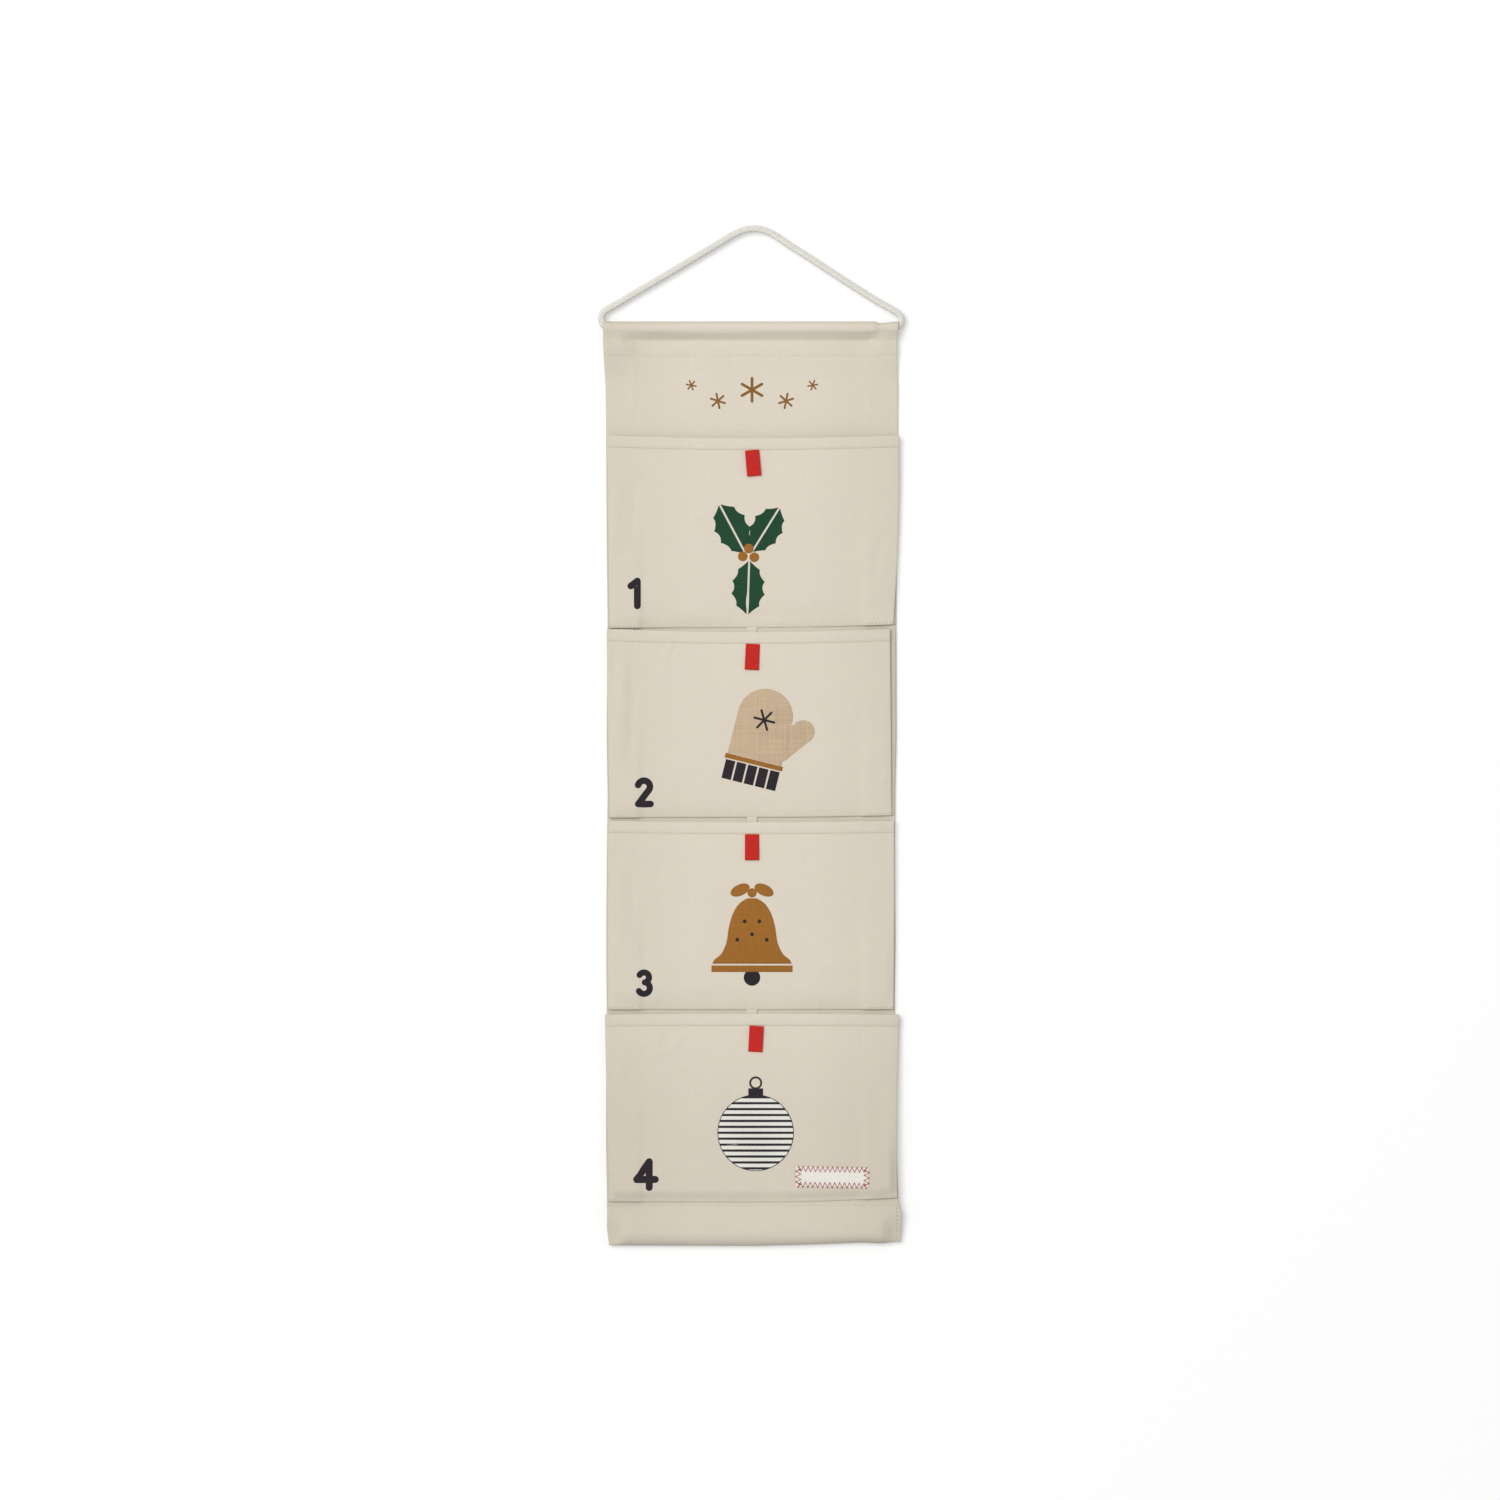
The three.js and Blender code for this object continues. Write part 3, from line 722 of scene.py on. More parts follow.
def bottom_tunnel(x):
    """Rows of Y and Z: in front from the stitches down to the rod, and under it and up at the back."""
    flat = ease((np.abs(x) - ROD_HALF - ROD_END_RUN) / FLAT_RUN)
    drop = np.where(x < 0, *FLAT_DROPS)
    room = mix(ROD_ROOM, FLAT_ROOM, flat) + CLOTH / 2
    middle_y = mix(0, LAY_INSIDE - FLAT_ROOM - FLAT_STAND, flat)
    middle_z = mix(BOTTOM_AXIS, BOTTOM_EDGE - drop + CLOTH + FLAT_ROOM, flat)
    sag = np.interp(x, LOW_PLACES, LOW_DEPTHS)
    bulge, out, fall, depth = (mix(size, 0, flat) for size in (LOW_BULGE, LOW_OUT, LOW_FALL, sag))
    high_y = LAY_MIDDLE - stand(x, BOTTOM_STITCH)
    end = tangent_turn(high_y - middle_y, BOTTOM_STITCH - middle_z, room, -1) + 2 * math.pi
    quarter = np.linspace(math.pi, 1.5 * math.pi, ARC_STEPS)[:, None] + 0 * x
    y = middle_y + bulge + (room + bulge + out) * np.cos(quarter)
    z = middle_z + fall + (room + fall + depth) * np.sin(quarter)
    under = np.stack([y, z], -1)
    t = np.linspace(0, 1, ARC_STEPS)[1:, None]
    turn = mix(1.5 * math.pi, end, t)
    y = middle_y + bulge * (1 - t) + room * np.cos(turn)
    z = middle_z - depth * (1 - t) + room * np.sin(turn)
    behind = np.stack([y, z], -1)
    sewn = at_level(PANEL_MIDDLE - stand(x, BOTTOM_STITCH), x, BOTTOM_STITCH)
    reach = np.linalg.norm(under[0] - sewn, axis=1, keepdims=True)
    skin = bend(SKIN_SHARES, sewn, LOW_LEAVE * reach, under[0], LOW_ARRIVE * reach)
    high, flap = (at_level(high_y, x, BOTTOM_STITCH + rise) for rise in (0, FLAP_END))
    rear = [mix(behind[-1], high, t) for t in np.linspace(0, 1, FLAP_STEPS + 1)[1:]]
    rear += [mix(high, flap, t) for t in np.linspace(0, 1, FLAP_END_STEPS + 1)[1:]]
    return np.concatenate([[sewn], skin]), np.concatenate([under[1:], behind, rear])


def with_distance(middle):
    """Each point's place on the cloth: its X, and how far it is along the cloth from the first row."""
    steps = np.linalg.norm(np.diff(middle, axis=0), axis=2)
    gone = np.concatenate([np.zeros((1, middle.shape[1])), np.cumsum(steps, axis=0)])
    column = gone.shape[1] // 2
    along = np.repeat(gone[:, column : column + 1], gone.shape[1], axis=1)
    return np.stack([middle[..., 0], -along], -1)


def banner_grid():
    """Places on the middle of the banner's cloth, and which rows of them face forward."""
    columns = round(2 * BANNER_HALF / BANNER_STEP) + 1
    x = np.linspace(-BANNER_HALF, BANNER_HALF, columns)
    over, top = top_tunnel(x)
    bottom, under = bottom_tunnel(x)
    levels = np.arange(TOP_STITCH - BANNER_STEP, BOTTOM_STITCH, -BANNER_STEP)
    plain = [at_level(PANEL_MIDDLE - stand(x, level), x, level) for level in levels]
    section = np.concatenate([over, top, plain, bottom, under])
    z = section[..., 1]
    left, right = banner_edges(z)
    across = mix(left, right, (x + BANNER_HALF) / (2 * BANNER_HALF))
    middle = np.stack([across, section[..., 0], z], -1)
    faced = slice(len(over), len(section) - len(under))
    near_rod = ease((TOP_AXIS - z[faced]) / ROD_ROOM)
    near_low = ease((z[faced] - BOTTOM_AXIS) / ROD_ROOM)
    middle[faced, :, 1] -= near_rod * near_low * panel_rise(middle[faced, :, 0], z[faced])
    return middle, faced


def banner_cloth(middle):
    piece = shell("banner_cloth", middle, CANVAS_CLOTH, with_distance(middle), CANVAS)
    return belongs(piece, "banner", "back_panel")


def face_over(grid):
    """The front Y of cloth at X and Z, from a grid of places on its middle that runs down."""
    def face(x, z):
        places = np.stack(np.broadcast_arrays(x, z), -1).reshape(-1, 2)
        found = [height_over(grid, across, level) for across, level in places]
        return np.array(found).reshape(np.broadcast(x, z).shape) - CANVAS_CLOTH / 2
    return face


def height_over(grid, x, z):
    """Y of the grid at X and Z: along the two columns beside the place, and then between them."""
    row = grid[np.searchsorted(-grid[:, 0, 2], -z).clip(0, len(grid) - 1)]
    column = int(np.searchsorted(row[:, 0], x).clip(1, row.shape[0] - 1))
    beside = [np.interp(-z, -grid[:, k, 2], grid[:, k, 1]) for k in (column - 1, column)]
    share = np.clip((x - row[column - 1, 0]) / (row[column, 0] - row[column - 1, 0]), 0, 1)
    return mix(beside[0], beside[1], share)


FOLD_RADIUS = 0.5 * MM  # of a side hem's fold, at the middle of its cloth
FOLD_STEPS = 5
HEM_STEP = 6 * MM
HEM_COLUMNS = 8


def side_hem(side):
    """The cloth that is turned to the back along a long edge, with its rounded fold."""
    levels = np.linspace(TOP_STITCH, BOTTOM_STITCH, round((TOP_STITCH - BOTTOM_STITCH) / HEM_STEP))
    turn = np.linspace(-math.pi / 2, math.pi / 2, FOLD_STEPS + 1)
    fold = np.stack([FOLD_RADIUS * np.cos(turn), FOLD_RADIUS * np.sin(turn) + LAY_INSIDE], -1)
    width = np.linspace(0, SIDE_HEM, HEM_COLUMNS + 1)[1:]
    lay = np.stack([-width, 0 * width + LAY_INSIDE + FOLD_RADIUS], -1)
    line = np.concatenate([fold, lay])
    z = np.broadcast_to(levels[:, None], (len(levels), len(line)))
    x = banner_edges(z)[0 if side < 0 else 1] + side * (line[:, 0] - FOLD_RADIUS)
    middle = np.stack([x, line[:, 1] - stand(x, z), z], -1)
    name = "side_hem_left" if side < 0 else "side_hem_right"
    return belongs(shell(name, middle, CANVAS_CLOTH, with_distance(middle), CANVAS), "banner")


# Pockets

POCKET_STEP = 2 * MM
HEM_ROWS = 9
POCKET_CREASES = [
    [
        (-147, -236, -149, -352, 8, 1.5),
        (-128, -262, -130, -350, 5, -0.7),
        (-156, -352, -128, -350, 6, -0.6),
        (-128, -398, -112, -428, 4, 0.8),
        (128, -330, 112, -372, 7, 0.8),
        (142, -322, 132, -380, 5, -0.7),
        (-20, -400, 110, -396, 8, 0.5),
    ],
    [
        (-141, -436, -139, -570, 7, 1.3),
        (-130, -446, -131, -585, 5, -0.9),
        (-152, -446, -148, -480, 3.4, -1),
        (-86, -444, -98, -470, 4, 0.6),
        (-80, -444, -91, -466, 3, -0.5),
        (-150, -500, -146, -585, 9, 1.4),
        (132, -570, 142, -596, 6, -0.9),
        (-100, -560, -60, -604, 9, 0.6),
    ],
    [
        (-151, -664, -146, -684, 4, -1),
        (-141, -662, -131, -672, 3, 0.7),
        (-132, -668, -128, -765, 6, -0.8),
        (-146, -690, -140, -790, 8, 1),
        (0, -682, 0, -728, 1.2, -0.28),
        (40, -700, 150, -699, 1.4, 0.22),
        (-90, -668, -104, -712, 7, -0.5),
        (60, -800, 140, -790, 9, 0.7),
    ],
    [
        (-70, -864, -94, -896, 5, 0.55),
        (-80, -862, -106, -892, 5, -0.5),
        (-102, -870, -101, -898, 4, 0.4),
        (-146, -872, -142, -930, 9, 1.2),
        (118, -864, 120, -884, 3, -0.6),
        (130, -900, 142, -990, 9, -0.9),
        (-60, -1000, -110, -960, 10, 0.7),
    ],
]
LOW_BELLIES = in_mm([(0.6, 26), (0.6, 26), (1.6, 24), (4.6, 13)])  # height, and run from the seam
BELLY_FADE = 80 * MM
POCKET_UNEVEN = 0.8
EDGE_LOOSENESS = 0.35
GUSSET_PRESS = 0.35 * MM
EDGE_FADE = 9 * MM
SEAM_FADE = 14 * MM
SEAM_STITCH_RISE = 3 * MM
HEM_STITCH_RISE = 1.2 * MM
HEM_PUFF = 0.2 * MM
HEM_STACK = CANVAS_CLOTH + LAYER_GAP


def edges_at(pocket, up):
    """X of a front's left and right edges at a share of its height."""
    out = 4 * up * (1 - up)
    left = mix(pocket.seam[0], pocket.mouth[0], up) - out * pocket.bulge[0]
    right = mix(pocket.seam[1], pocket.mouth[1], up) + out * pocket.bulge[1]
    return left, right


def seam_lift(pocket, aside):
    """How far a seam's ends lie above its middle, where aside is -1 on the left and 1 on the right."""
    left, right = pocket.lifts
    return left * np.clip(-aside, 0, 1) ** 2 + right * np.clip(aside, 0, 1) ** 2


def level_at(pocket, across, up):
    """The height of a place across a pocket, where up is its share of the front's height."""
    aside = 2 * across - 1
    sag = pocket.sag * (1 - aside**2) * up
    return pocket.bottom + up * pocket.height - sag + (1 - up) ** 2 * seam_lift(pocket, aside)


def seam_level(pocket, x):
    """The height of a pocket's bottom seam at X."""
    left, right = pocket.seam
    return pocket.bottom + seam_lift(pocket, (2 * x - left - right) / (right - left))


def plain_depth(pocket, x, z):
    """How far a front's back stands from the banner, before its wrinkles."""
    up = np.clip((z - pocket.bottom) / pocket.height, 0, 1)
    left, right = edges_at(pocket, up)
    aside = np.clip((2 * x - left - right) / (right - left), -1, 1)
    seam = SEAT + (FOLD_STACK - SEAT) * ease((np.abs(x) - SEWN_FLAT + FOLD_RUN) / FOLD_RUN)
    open_depth = MIDDLE_DEPTH - (MIDDLE_DEPTH - SIDE_DEPTH) * aside**4
    return seam + (open_depth - seam) * (1 - (1 - up) ** FRONT_ROUNDING)


def front_middle(pocket, x, z):
    """Y of the middle of a pocket front's cloth."""
    i = pocket.number - 1
    seam = seam_level(pocket, x)
    rise = np.maximum(z - seam, 0)
    left, right = edges_at(pocket, np.clip(rise / pocket.height, 0, 1))
    near_edge = ease(np.minimum(x - left, right - x) / EDGE_FADE)
    loose = POCKET_UNEVEN * unevenness(x, z, SEEDS["fronts"] + SEEDS_A_FRONT * i)
    loose = loose + press_through(x, z, GUSSET_PRESS, SEEDS["gussets"] + i)
    loose = loose + creases(x, z, POCKET_CREASES[i])
    loose = ease(rise / SEAM_FADE) * mix(EDGE_LOOSENESS, 1, near_edge) * loose
    height, run = LOW_BELLIES[i]
    belly = height * near_edge * ease(rise / run) * (1 - ease((rise - run) / BELLY_FADE))
    sewn = sewn_line(x, z, seam + SEAM_STITCH_RISE, SEEDS["pocket seams"] + i)
    before = stand(x, z) + plain_depth(pocket, x, z) + loose + belly + sewn
    return PANEL_FRONT - CLOTH / 2 - before


def face_of(pocket):
    return lambda x, z: front_middle(pocket, x, z) - CANVAS_CLOTH / 2


def pocket_front(pocket):
    """The front and its hem in one sheet: up the hem from its loose edge, over the mouth and down."""
    left, right = pocket.mouth
    across = np.linspace(0, 1, round((right - left) / POCKET_STEP) + 1)
    hem_share = 1 - HEM_HEIGHT / pocket.height
    brow = 1 - HEM_STACK / 2 / pocket.height
    hem_ups = np.linspace(hem_share, brow, HEM_ROWS)
    turns = np.linspace(0, math.pi, FOLD_STEPS + 1)[1:-1]
    plain_rows = round(pocket.height / POCKET_STEP)
    downs = np.concatenate([hem_ups[::-1], np.linspace(hem_share, 0, plain_rows)[1:]])
    middle = np.array([
        *(hem_row(pocket, across, up) for up in hem_ups),
        *(fold_row(pocket, across, brow, turn) for turn in turns),
        *(plain_row(pocket, across, up) for up in downs),
    ])
    piece = shell(f"pocket_cloth_{pocket.number}", middle, CANVAS_CLOTH, with_distance(middle), CANVAS)
    return belongs(piece, pocket.body, f"pocket_front_{pocket.number}")


def plain_row(pocket, across, up):
    left, right = edges_at(pocket, up)
    x = mix(left, right, across)
    z = level_at(pocket, across, up)
    return np.stack([x, front_middle(pocket, x, z), z], -1)


def hem_row(pocket, across, up):
    row = plain_row(pocket, across, up)
    line = level_at(pocket, across, 1 - HEM_HEIGHT / pocket.height) + HEM_STITCH_RISE
    puff = HEM_PUFF * ease((row[:, 2] - line) / HEM_HEIGHT * 2)
    sewn = sewn_line(row[:, 0], row[:, 2], line, SEEDS["mouth hems"] + pocket.number - 1)
    row[:, 1] -= HEM_STACK + puff + sewn
    return row


def fold_row(pocket, across, brow, turn):
    """The mouth's fold, half round from the hem over to the front."""
    row = plain_row(pocket, across, brow)
    radius = (HEM_STACK + HEM_PUFF) / 2
    row[:, 1] -= radius + radius * math.cos(turn)
    row[:, 2] += radius * math.sin(turn)
    return row


GUSSET_COLUMNS = 8
GUSSET_BEND = 0.45 * MM


def gusset(pocket, side):
    """One fold of thin cloth from the banner's edge in to its crease and out to the pocket front's edge."""
    corner = 0 if side < 0 else 1
    fold = side * FOLD_PLACE
    t = np.linspace(0, 1, GUSSET_COLUMNS + 1)
    rows = []
    for up in np.linspace(0, 1, round(pocket.height / HEM_STEP) + 1):
        z = level_at(pocket, float(corner), up)
        outer = banner_edges(z)[corner] - side * GUSSET_INSET
        near_x = mix(fold, edges_at(pocket, up)[corner] - side * GUSSET_INSET, t)
        near = front_middle(pocket, near_x, z + 0 * t) + CLOTH / 2 + SEAT + GUSSET_CLOTH / 2
        far = PANEL_FRONT - stand(outer, z) - SEAT - GUSSET_CLOTH / 2
        middle = (near[0] + far) / 2
        bow = np.clip((far - near[0]) / 2, 0, GUSSET_BEND)
        going = np.stack([mix(outer, fold, t), mix(far, middle + bow, ease(t)), z + 0 * t], -1)
        back = np.stack([near_x, mix(middle - bow, near, ease(t)), z + 0 * t], -1)
        rows.append(np.concatenate([going, [[fold - side * bow, middle, z]], back]))
    middle = np.array(rows)
    end = f"{'left' if side < 0 else 'right'}_{pocket.number}"
    columns = np.arange(middle.shape[1]) * GUSSET_FOLD / GUSSET_COLUMNS
    flat = np.stack([np.broadcast_to(columns, middle.shape[:2]), middle[..., 2]], -1)
    piece = shell(f"gusset_cloth_{end}", middle, GUSSET_CLOTH, flat, LINING)
    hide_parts(f"gusset_{end}")
    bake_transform(piece)
    return piece


# Tapes, tabs and label

TAPE_WIDTH = 11 * MM
TAPE_CLOTH = 0.8 * MM
TAPE_TUCK = 10 * MM
TAPE_CROWN = 0.12 * MM
TAPE_GRID = (14, 9)


def centre_tape(upper, lower):
    high, low = upper.bottom - SEAT, lower.top - lower.sag - TAPE_TUCK
    x = np.linspace(-TAPE_WIDTH / 2, TAPE_WIDTH / 2, TAPE_GRID[1])
    z = np.linspace(high, low, TAPE_GRID[0])[:, None]
    crown = TAPE_CROWN * (1 - (2 * x / TAPE_WIDTH) ** 2)
    y = PANEL_FRONT - SEAT - TAPE_CLOTH / 2 - crown + 0 * z
    middle = np.stack(np.broadcast_arrays(x, y, z), -1)
    piece = shell(f"tape_{upper.number}", middle, TAPE_CLOTH, with_distance(middle), TAPE)
    return belongs(piece, "banner", f"centre_tape_{upper.number}")


RIBBON_CLOTH = 0.4 * MM
RIBBON_WIDTH = 15 * MM
TAB_LENGTH = 28 * MM
TAB_LOOP = 1 * MM
TAB_STAND = 0.9 * MM
TAB_GAP = 0.9 * MM
TAB_SHIFTS = in_mm([0, 1, 0, 5])
TAB_TURNS = [4.9, -2.8, 0, -2.9]  # in degrees, like the turns below
TAB_ROWS = 14
TAB_BEND_STEPS = 7
TAB_COLUMNS = 9


def pull_tab(pocket):
    """A folded ribbon: down behind, round the bottom and up in front to the hem."""
    i = pocket.number - 1
    half_top, half_low = RIBBON_CLOTH / 2, (RIBBON_CLOTH + TAB_LOOP) / 2
    low = half_low + RIBBON_CLOTH / 2 - TAB_LENGTH
    down = np.linspace(0, 1, TAB_ROWS)
    spread = mix(half_top, half_low, ease(down))
    turn = np.linspace(0, math.pi, TAB_BEND_STEPS + 1)[1:-1]
    back = np.stack([spread, down * low], -1)
    bottom = np.stack([half_low * np.cos(turn), low - half_low * np.sin(turn)], -1)
    front = np.stack([-spread, down * low], -1)[::-1]
    line = np.concatenate([back, bottom, front])
    x = np.linspace(-RIBBON_WIDTH / 2, RIBBON_WIDTH / 2, TAB_COLUMNS)
    c, s = math.cos(math.radians(TAB_TURNS[i])), math.sin(math.radians(TAB_TURNS[i]))
    hang = level_at(pocket, 0.5, 1 - HEM_HEIGHT / pocket.height)
    flat = np.stack(np.broadcast_arrays(x, line[:, :1], line[:, 1:]), -1)
    middle = flat.copy()
    middle[..., 0] = TAB_SHIFTS[i] + flat[..., 0] * c - flat[..., 2] * s
    middle[..., 1] += PANEL_FRONT - plain_depth(pocket, 0, hang) - CLOTH - TAB_STAND - RIBBON_CLOTH
    middle[..., 2] = hang - TAB_GAP + flat[..., 0] * s + flat[..., 2] * c
    piece = shell(f"ribbon_tab_{pocket.number}", middle, RIBBON_CLOTH, with_distance(flat), RIBBON)
    belongs(piece, f"tab_{pocket.number}", f"red_tab_{pocket.number}")


LABEL_WIDTH = 78 * MM
LABEL_HEIGHT = 21 * MM
LABEL_CLOTH = 0.6 * MM
LABEL_LIFT = 0.15 * MM
LABEL_MIDDLE = in_mm([87, 27])  # across, and above the last pocket's bottom seam
LABEL_TURN = 1.0
LABEL_GRID = (15, 53)


def on_label(pocket, u, v):
    """X and Z of a place on the label, from its middle."""
    c, s = math.cos(math.radians(LABEL_TURN)), math.sin(math.radians(LABEL_TURN))
    return LABEL_MIDDLE[0] + u * c + v * s, pocket.bottom + LABEL_MIDDLE[1] - u * s + v * c


def label_patch(pocket):
    u = np.linspace(-LABEL_WIDTH / 2, LABEL_WIDTH / 2, LABEL_GRID[1])
    v = np.linspace(LABEL_HEIGHT / 2, -LABEL_HEIGHT / 2, LABEL_GRID[0])[:, None]
    x, z = on_label(pocket, u, v)
    y = front_middle(pocket, x, z) - CANVAS_CLOTH / 2 - LABEL_LIFT - LABEL_CLOTH / 2
    flat = np.stack(np.broadcast_arrays(u, v), -1)
    piece = shell("label_cloth", np.stack([x, y, z], -1), LABEL_CLOTH, flat, LABEL)
    return belongs(piece, pocket.body, "label_patch")


# Printing

INK_LIFT = 0.12 * MM
PRINT_STEP = 2 * MM
MERGE_WITHIN = 0.001 * MM
CURVE_STEPS = 28
SHORT_ARC_STEPS = 12
STROKE_END_STEPS = 8
STAR_RAYS = 3

# What is printed or sewn on each cloth, by the body that it moves with
ON_CLOTH = {"banner": [], **{pocket.body: [] for pocket in POCKETS}}


def lay_on(piece, body):
    """Lets a piece move with its cloth, and keeps it with the others on that cloth."""
    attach(piece, body)
    ON_CLOTH[body].append(piece)


def print_on(name, outlines, face, ink, body, layer):
    """Ink in the area that the outlines cover together. face gives the cloth's front Y at X and Z."""
    points, polygons = [], []
    for outline in outlines:
        polygons.append(list(range(len(points), len(points) + len(outline))))
        points += [Vector(p) for p in outline]
    points += [Vector(p) for p in grid_inside(points)]
    flat, _, faces, _, _, covers = delaunay_2d_cdt(points, [], polygons, 1, MERGE_WITHIN)
    flat, faces = np.array([tuple(p) for p in flat]), np.array([f for f, c in zip(faces, covers) if c])
    used = np.unique(faces)
    flat, faces = flat[used], np.searchsorted(used, faces)
    x, z = flat[:, 0], flat[:, 1]
    y = face(x, z)
    front = np.stack([x, y - layer * INK_LIFT, z], -1)
    back = np.stack([x, y + INK_LIFT, z], -1)
    count = len(flat)
    sides = np.concatenate([faces[:, [0, 1]], faces[:, [1, 2]], faces[:, [2, 0]]]).tolist()
    known = {tuple(s) for s in sides}
    rim = np.array([s for s in sides if (s[1], s[0]) not in known])
    walls = np.stack([rim[:, 1], rim[:, 0], count + rim[:, 0], count + rim[:, 1]], -1)
    triangles = np.concatenate([faces, (count + faces)[:, ::-1]])
    mesh = mesh_of(name, np.concatenate([front, back]), [triangles, walls], np.tile(flat, (2, 1)))
    lay_on(add_object(name, mesh, INKS[ink]), body)


def grid_inside(points):
    """Places a step apart over the box round the points, so that ink follows the cloth."""
    box = np.array([tuple(p) for p in points])
    low, high = box.min(axis=0), box.max(axis=0)
    across, up = (np.arange(low[k] + PRINT_STEP / 2, high[k], PRINT_STEP) for k in (0, 1))
    return [(a, b) for a in across for b in up]


def printer(body, face, middle, size=1.0, turn=0.0):
    """Prints on one cloth, with its outlines made larger, turned and put at one place there."""
    def print_there(name, outlines, ink, layer=1):
        print_on(name, placed(outlines, middle, size, turn), face, ink, body, layer)
    return print_there


def placed(outlines, middle, size=1.0, turn=0.0):
    """Outlines made larger, turned and put at a place."""
    c, s = math.cos(math.radians(turn)) * size, math.sin(math.radians(turn)) * size
    mx, mz = middle
    return [[(mx + x * c - z * s, mz + x * s + z * c) for x, z in outline] for outline in outlines]


def disc(middle, radius, tall=1.0):
    turn = np.linspace(0, 2 * math.pi, CURVE_STEPS, endpoint=False)
    return [(middle[0] + radius * math.cos(a), middle[1] + tall * radius * math.sin(a)) for a in turn]


def stroke(line, width):
    """A round-ended stroke along a line, one outline for each of its straight pieces."""
    outlines = []
    for (ax, az), (bx, bz) in zip(line, line[1:]):
        turn = math.atan2(bz - az, bx - ax)
        ends = [(bx, bz, turn - math.pi / 2), (ax, az, turn + math.pi / 2)]
        outlines.append([
            (x + width / 2 * math.cos(start + a), z + width / 2 * math.sin(start + a))
            for x, z, start in ends for a in np.linspace(0, math.pi, STROKE_END_STEPS + 1)
        ])
    return outlines


def arc(middle, radius, start, end, steps=SHORT_ARC_STEPS):
    """Places along part of a circle, with its angles in degrees."""
    turns = np.radians(np.linspace(start, end, steps))
    return [(middle[0] + radius * math.cos(a), middle[1] + radius * math.sin(a)) for a in turns]


def rays(middle, reach, first_turn, width):
    """Strokes through one middle, evenly turned."""
    outlines = []
    for k in range(STAR_RAYS):
        turn = first_turn + k * math.pi / STAR_RAYS
        dx, dz = reach * math.cos(turn), reach * math.sin(turn)
        ends = [(middle[0] + dx, middle[1] + dz), (middle[0] - dx, middle[1] - dz)]
        outlines += stroke(ends, width)
    return outlines


# Each numeral's strokes, one high and with its foot at 0
NUMERALS = [
    [[(-0.16, 0.74), (0.05, 0.9), (0.05, 0.1)]],
    [[*arc((0, 0.68), 0.2, 165, -35), (-0.19, 0.1), (0.22, 0.1)]],
    [[*arc((-0.02, 0.7), 0.18, 150, -80), *arc((-0.02, 0.32), 0.21, 80, -150)]],
    [[(0.09, 0.9), (-0.3, 0.35), (0.28, 0.35)], [(0.09, 0.9), (0.09, 0.1)]],
]
NUMERAL_STROKE_SHARE = 0.22
NUMERAL_PLACES = in_mm([(-126.1, -409.1), (-117.3, -624), (-116.6, -830.2), (-114.5, -1039.5)])
NUMERAL_HEIGHTS = in_mm([33.6, 32.6, 30.4, 34.7])


def numeral(pocket, face):
    i = pocket.number - 1
    outlines = [o for line in NUMERALS[i] for o in stroke(line, NUMERAL_STROKE_SHARE)]
    there = printer(pocket.body, face, NUMERAL_PLACES[i], NUMERAL_HEIGHTS[i])
    there(f"numeral_{pocket.number}", outlines, "charcoal")


# Ray stars over the first pocket: X, Z and width in millimetres, and turn in degrees
STARS = [
    (0, -171, 25, 0), (-37, -183, 16, 12), (37, -183, 16, -12), (-66, -166, 10.5, 20), (66, -166, 10.5, -20),
]
RAY_SHARE = 0.095
INK_SPREAD = 0.6 * MM


def ray_star(number, place, width, turn, face):
    outlines = rays((0, 0), 0.5, math.pi / 2, RAY_SHARE + INK_SPREAD / width)
    printer("banner", face, place, width, turn)(f"ray_star_{number}", outlines, "brown")


# A leaf's spines: how far along it they stand, and how wide
SPINES = [(0.0, 0.0), (0.16, 0.62), (0.38, 0.95), (0.62, 0.98), (0.84, 0.66), (1.0, 0.0)]
SPINE_STEPS = 6
SPINE_HOLLOW = 0.7
LEAF_WIDTH_SHARE = 0.3
RIB_GAP_SHARE = 0.018


def holly_leaf():
    """Both halves of a spined leaf one long, with a bare rib between them."""
    half = []
    for (t0, w0), (t1, w1) in zip(SPINES, SPINES[1:]):
        tm, wm = (t0 + t1) / 2, SPINE_HOLLOW * (w0 + w1) / 2
        for k in range(SPINE_STEPS):
            s = k / SPINE_STEPS
            t = (1 - s) ** 2 * t0 + 2 * s * (1 - s) * tm + s * s * t1
            w = (1 - s) ** 2 * w0 + 2 * s * (1 - s) * wm + s * s * w1
            half.append((t, LEAF_WIDTH_SHARE * w + RIB_GAP_SHARE))
    half.append((1.0, RIB_GAP_SHARE))
    return [half[::-1], [(t, -w) for t, w in half]]


# The sprig's leaves: X and Z of the stalk end and length in millimetres, and turn in degrees
SPRIG_LEAVES = [(-3, -2, 60, 118), (4, 0, 56, 58), (1, -10, 58, 268)]
BERRIES = in_mm([(-6, -5), (6.5, -6), (0.5, 3.5)])
BERRY_RADIUS = 5.2 * MM
SPRIG_PLACE = in_mm([-4, -347])


def sprig(body, face):
    there = printer(body, face, SPRIG_PLACE)
    leaves = []
    for x, z, length, turn in SPRIG_LEAVES:
        leaves += placed(holly_leaf(), in_mm([x, z]), length * MM, turn)
    there("sprig_leaves", leaves, "green")
    there("sprig_berries", [disc(place, BERRY_RADIUS) for place in BERRIES], "ochre", layer=2)


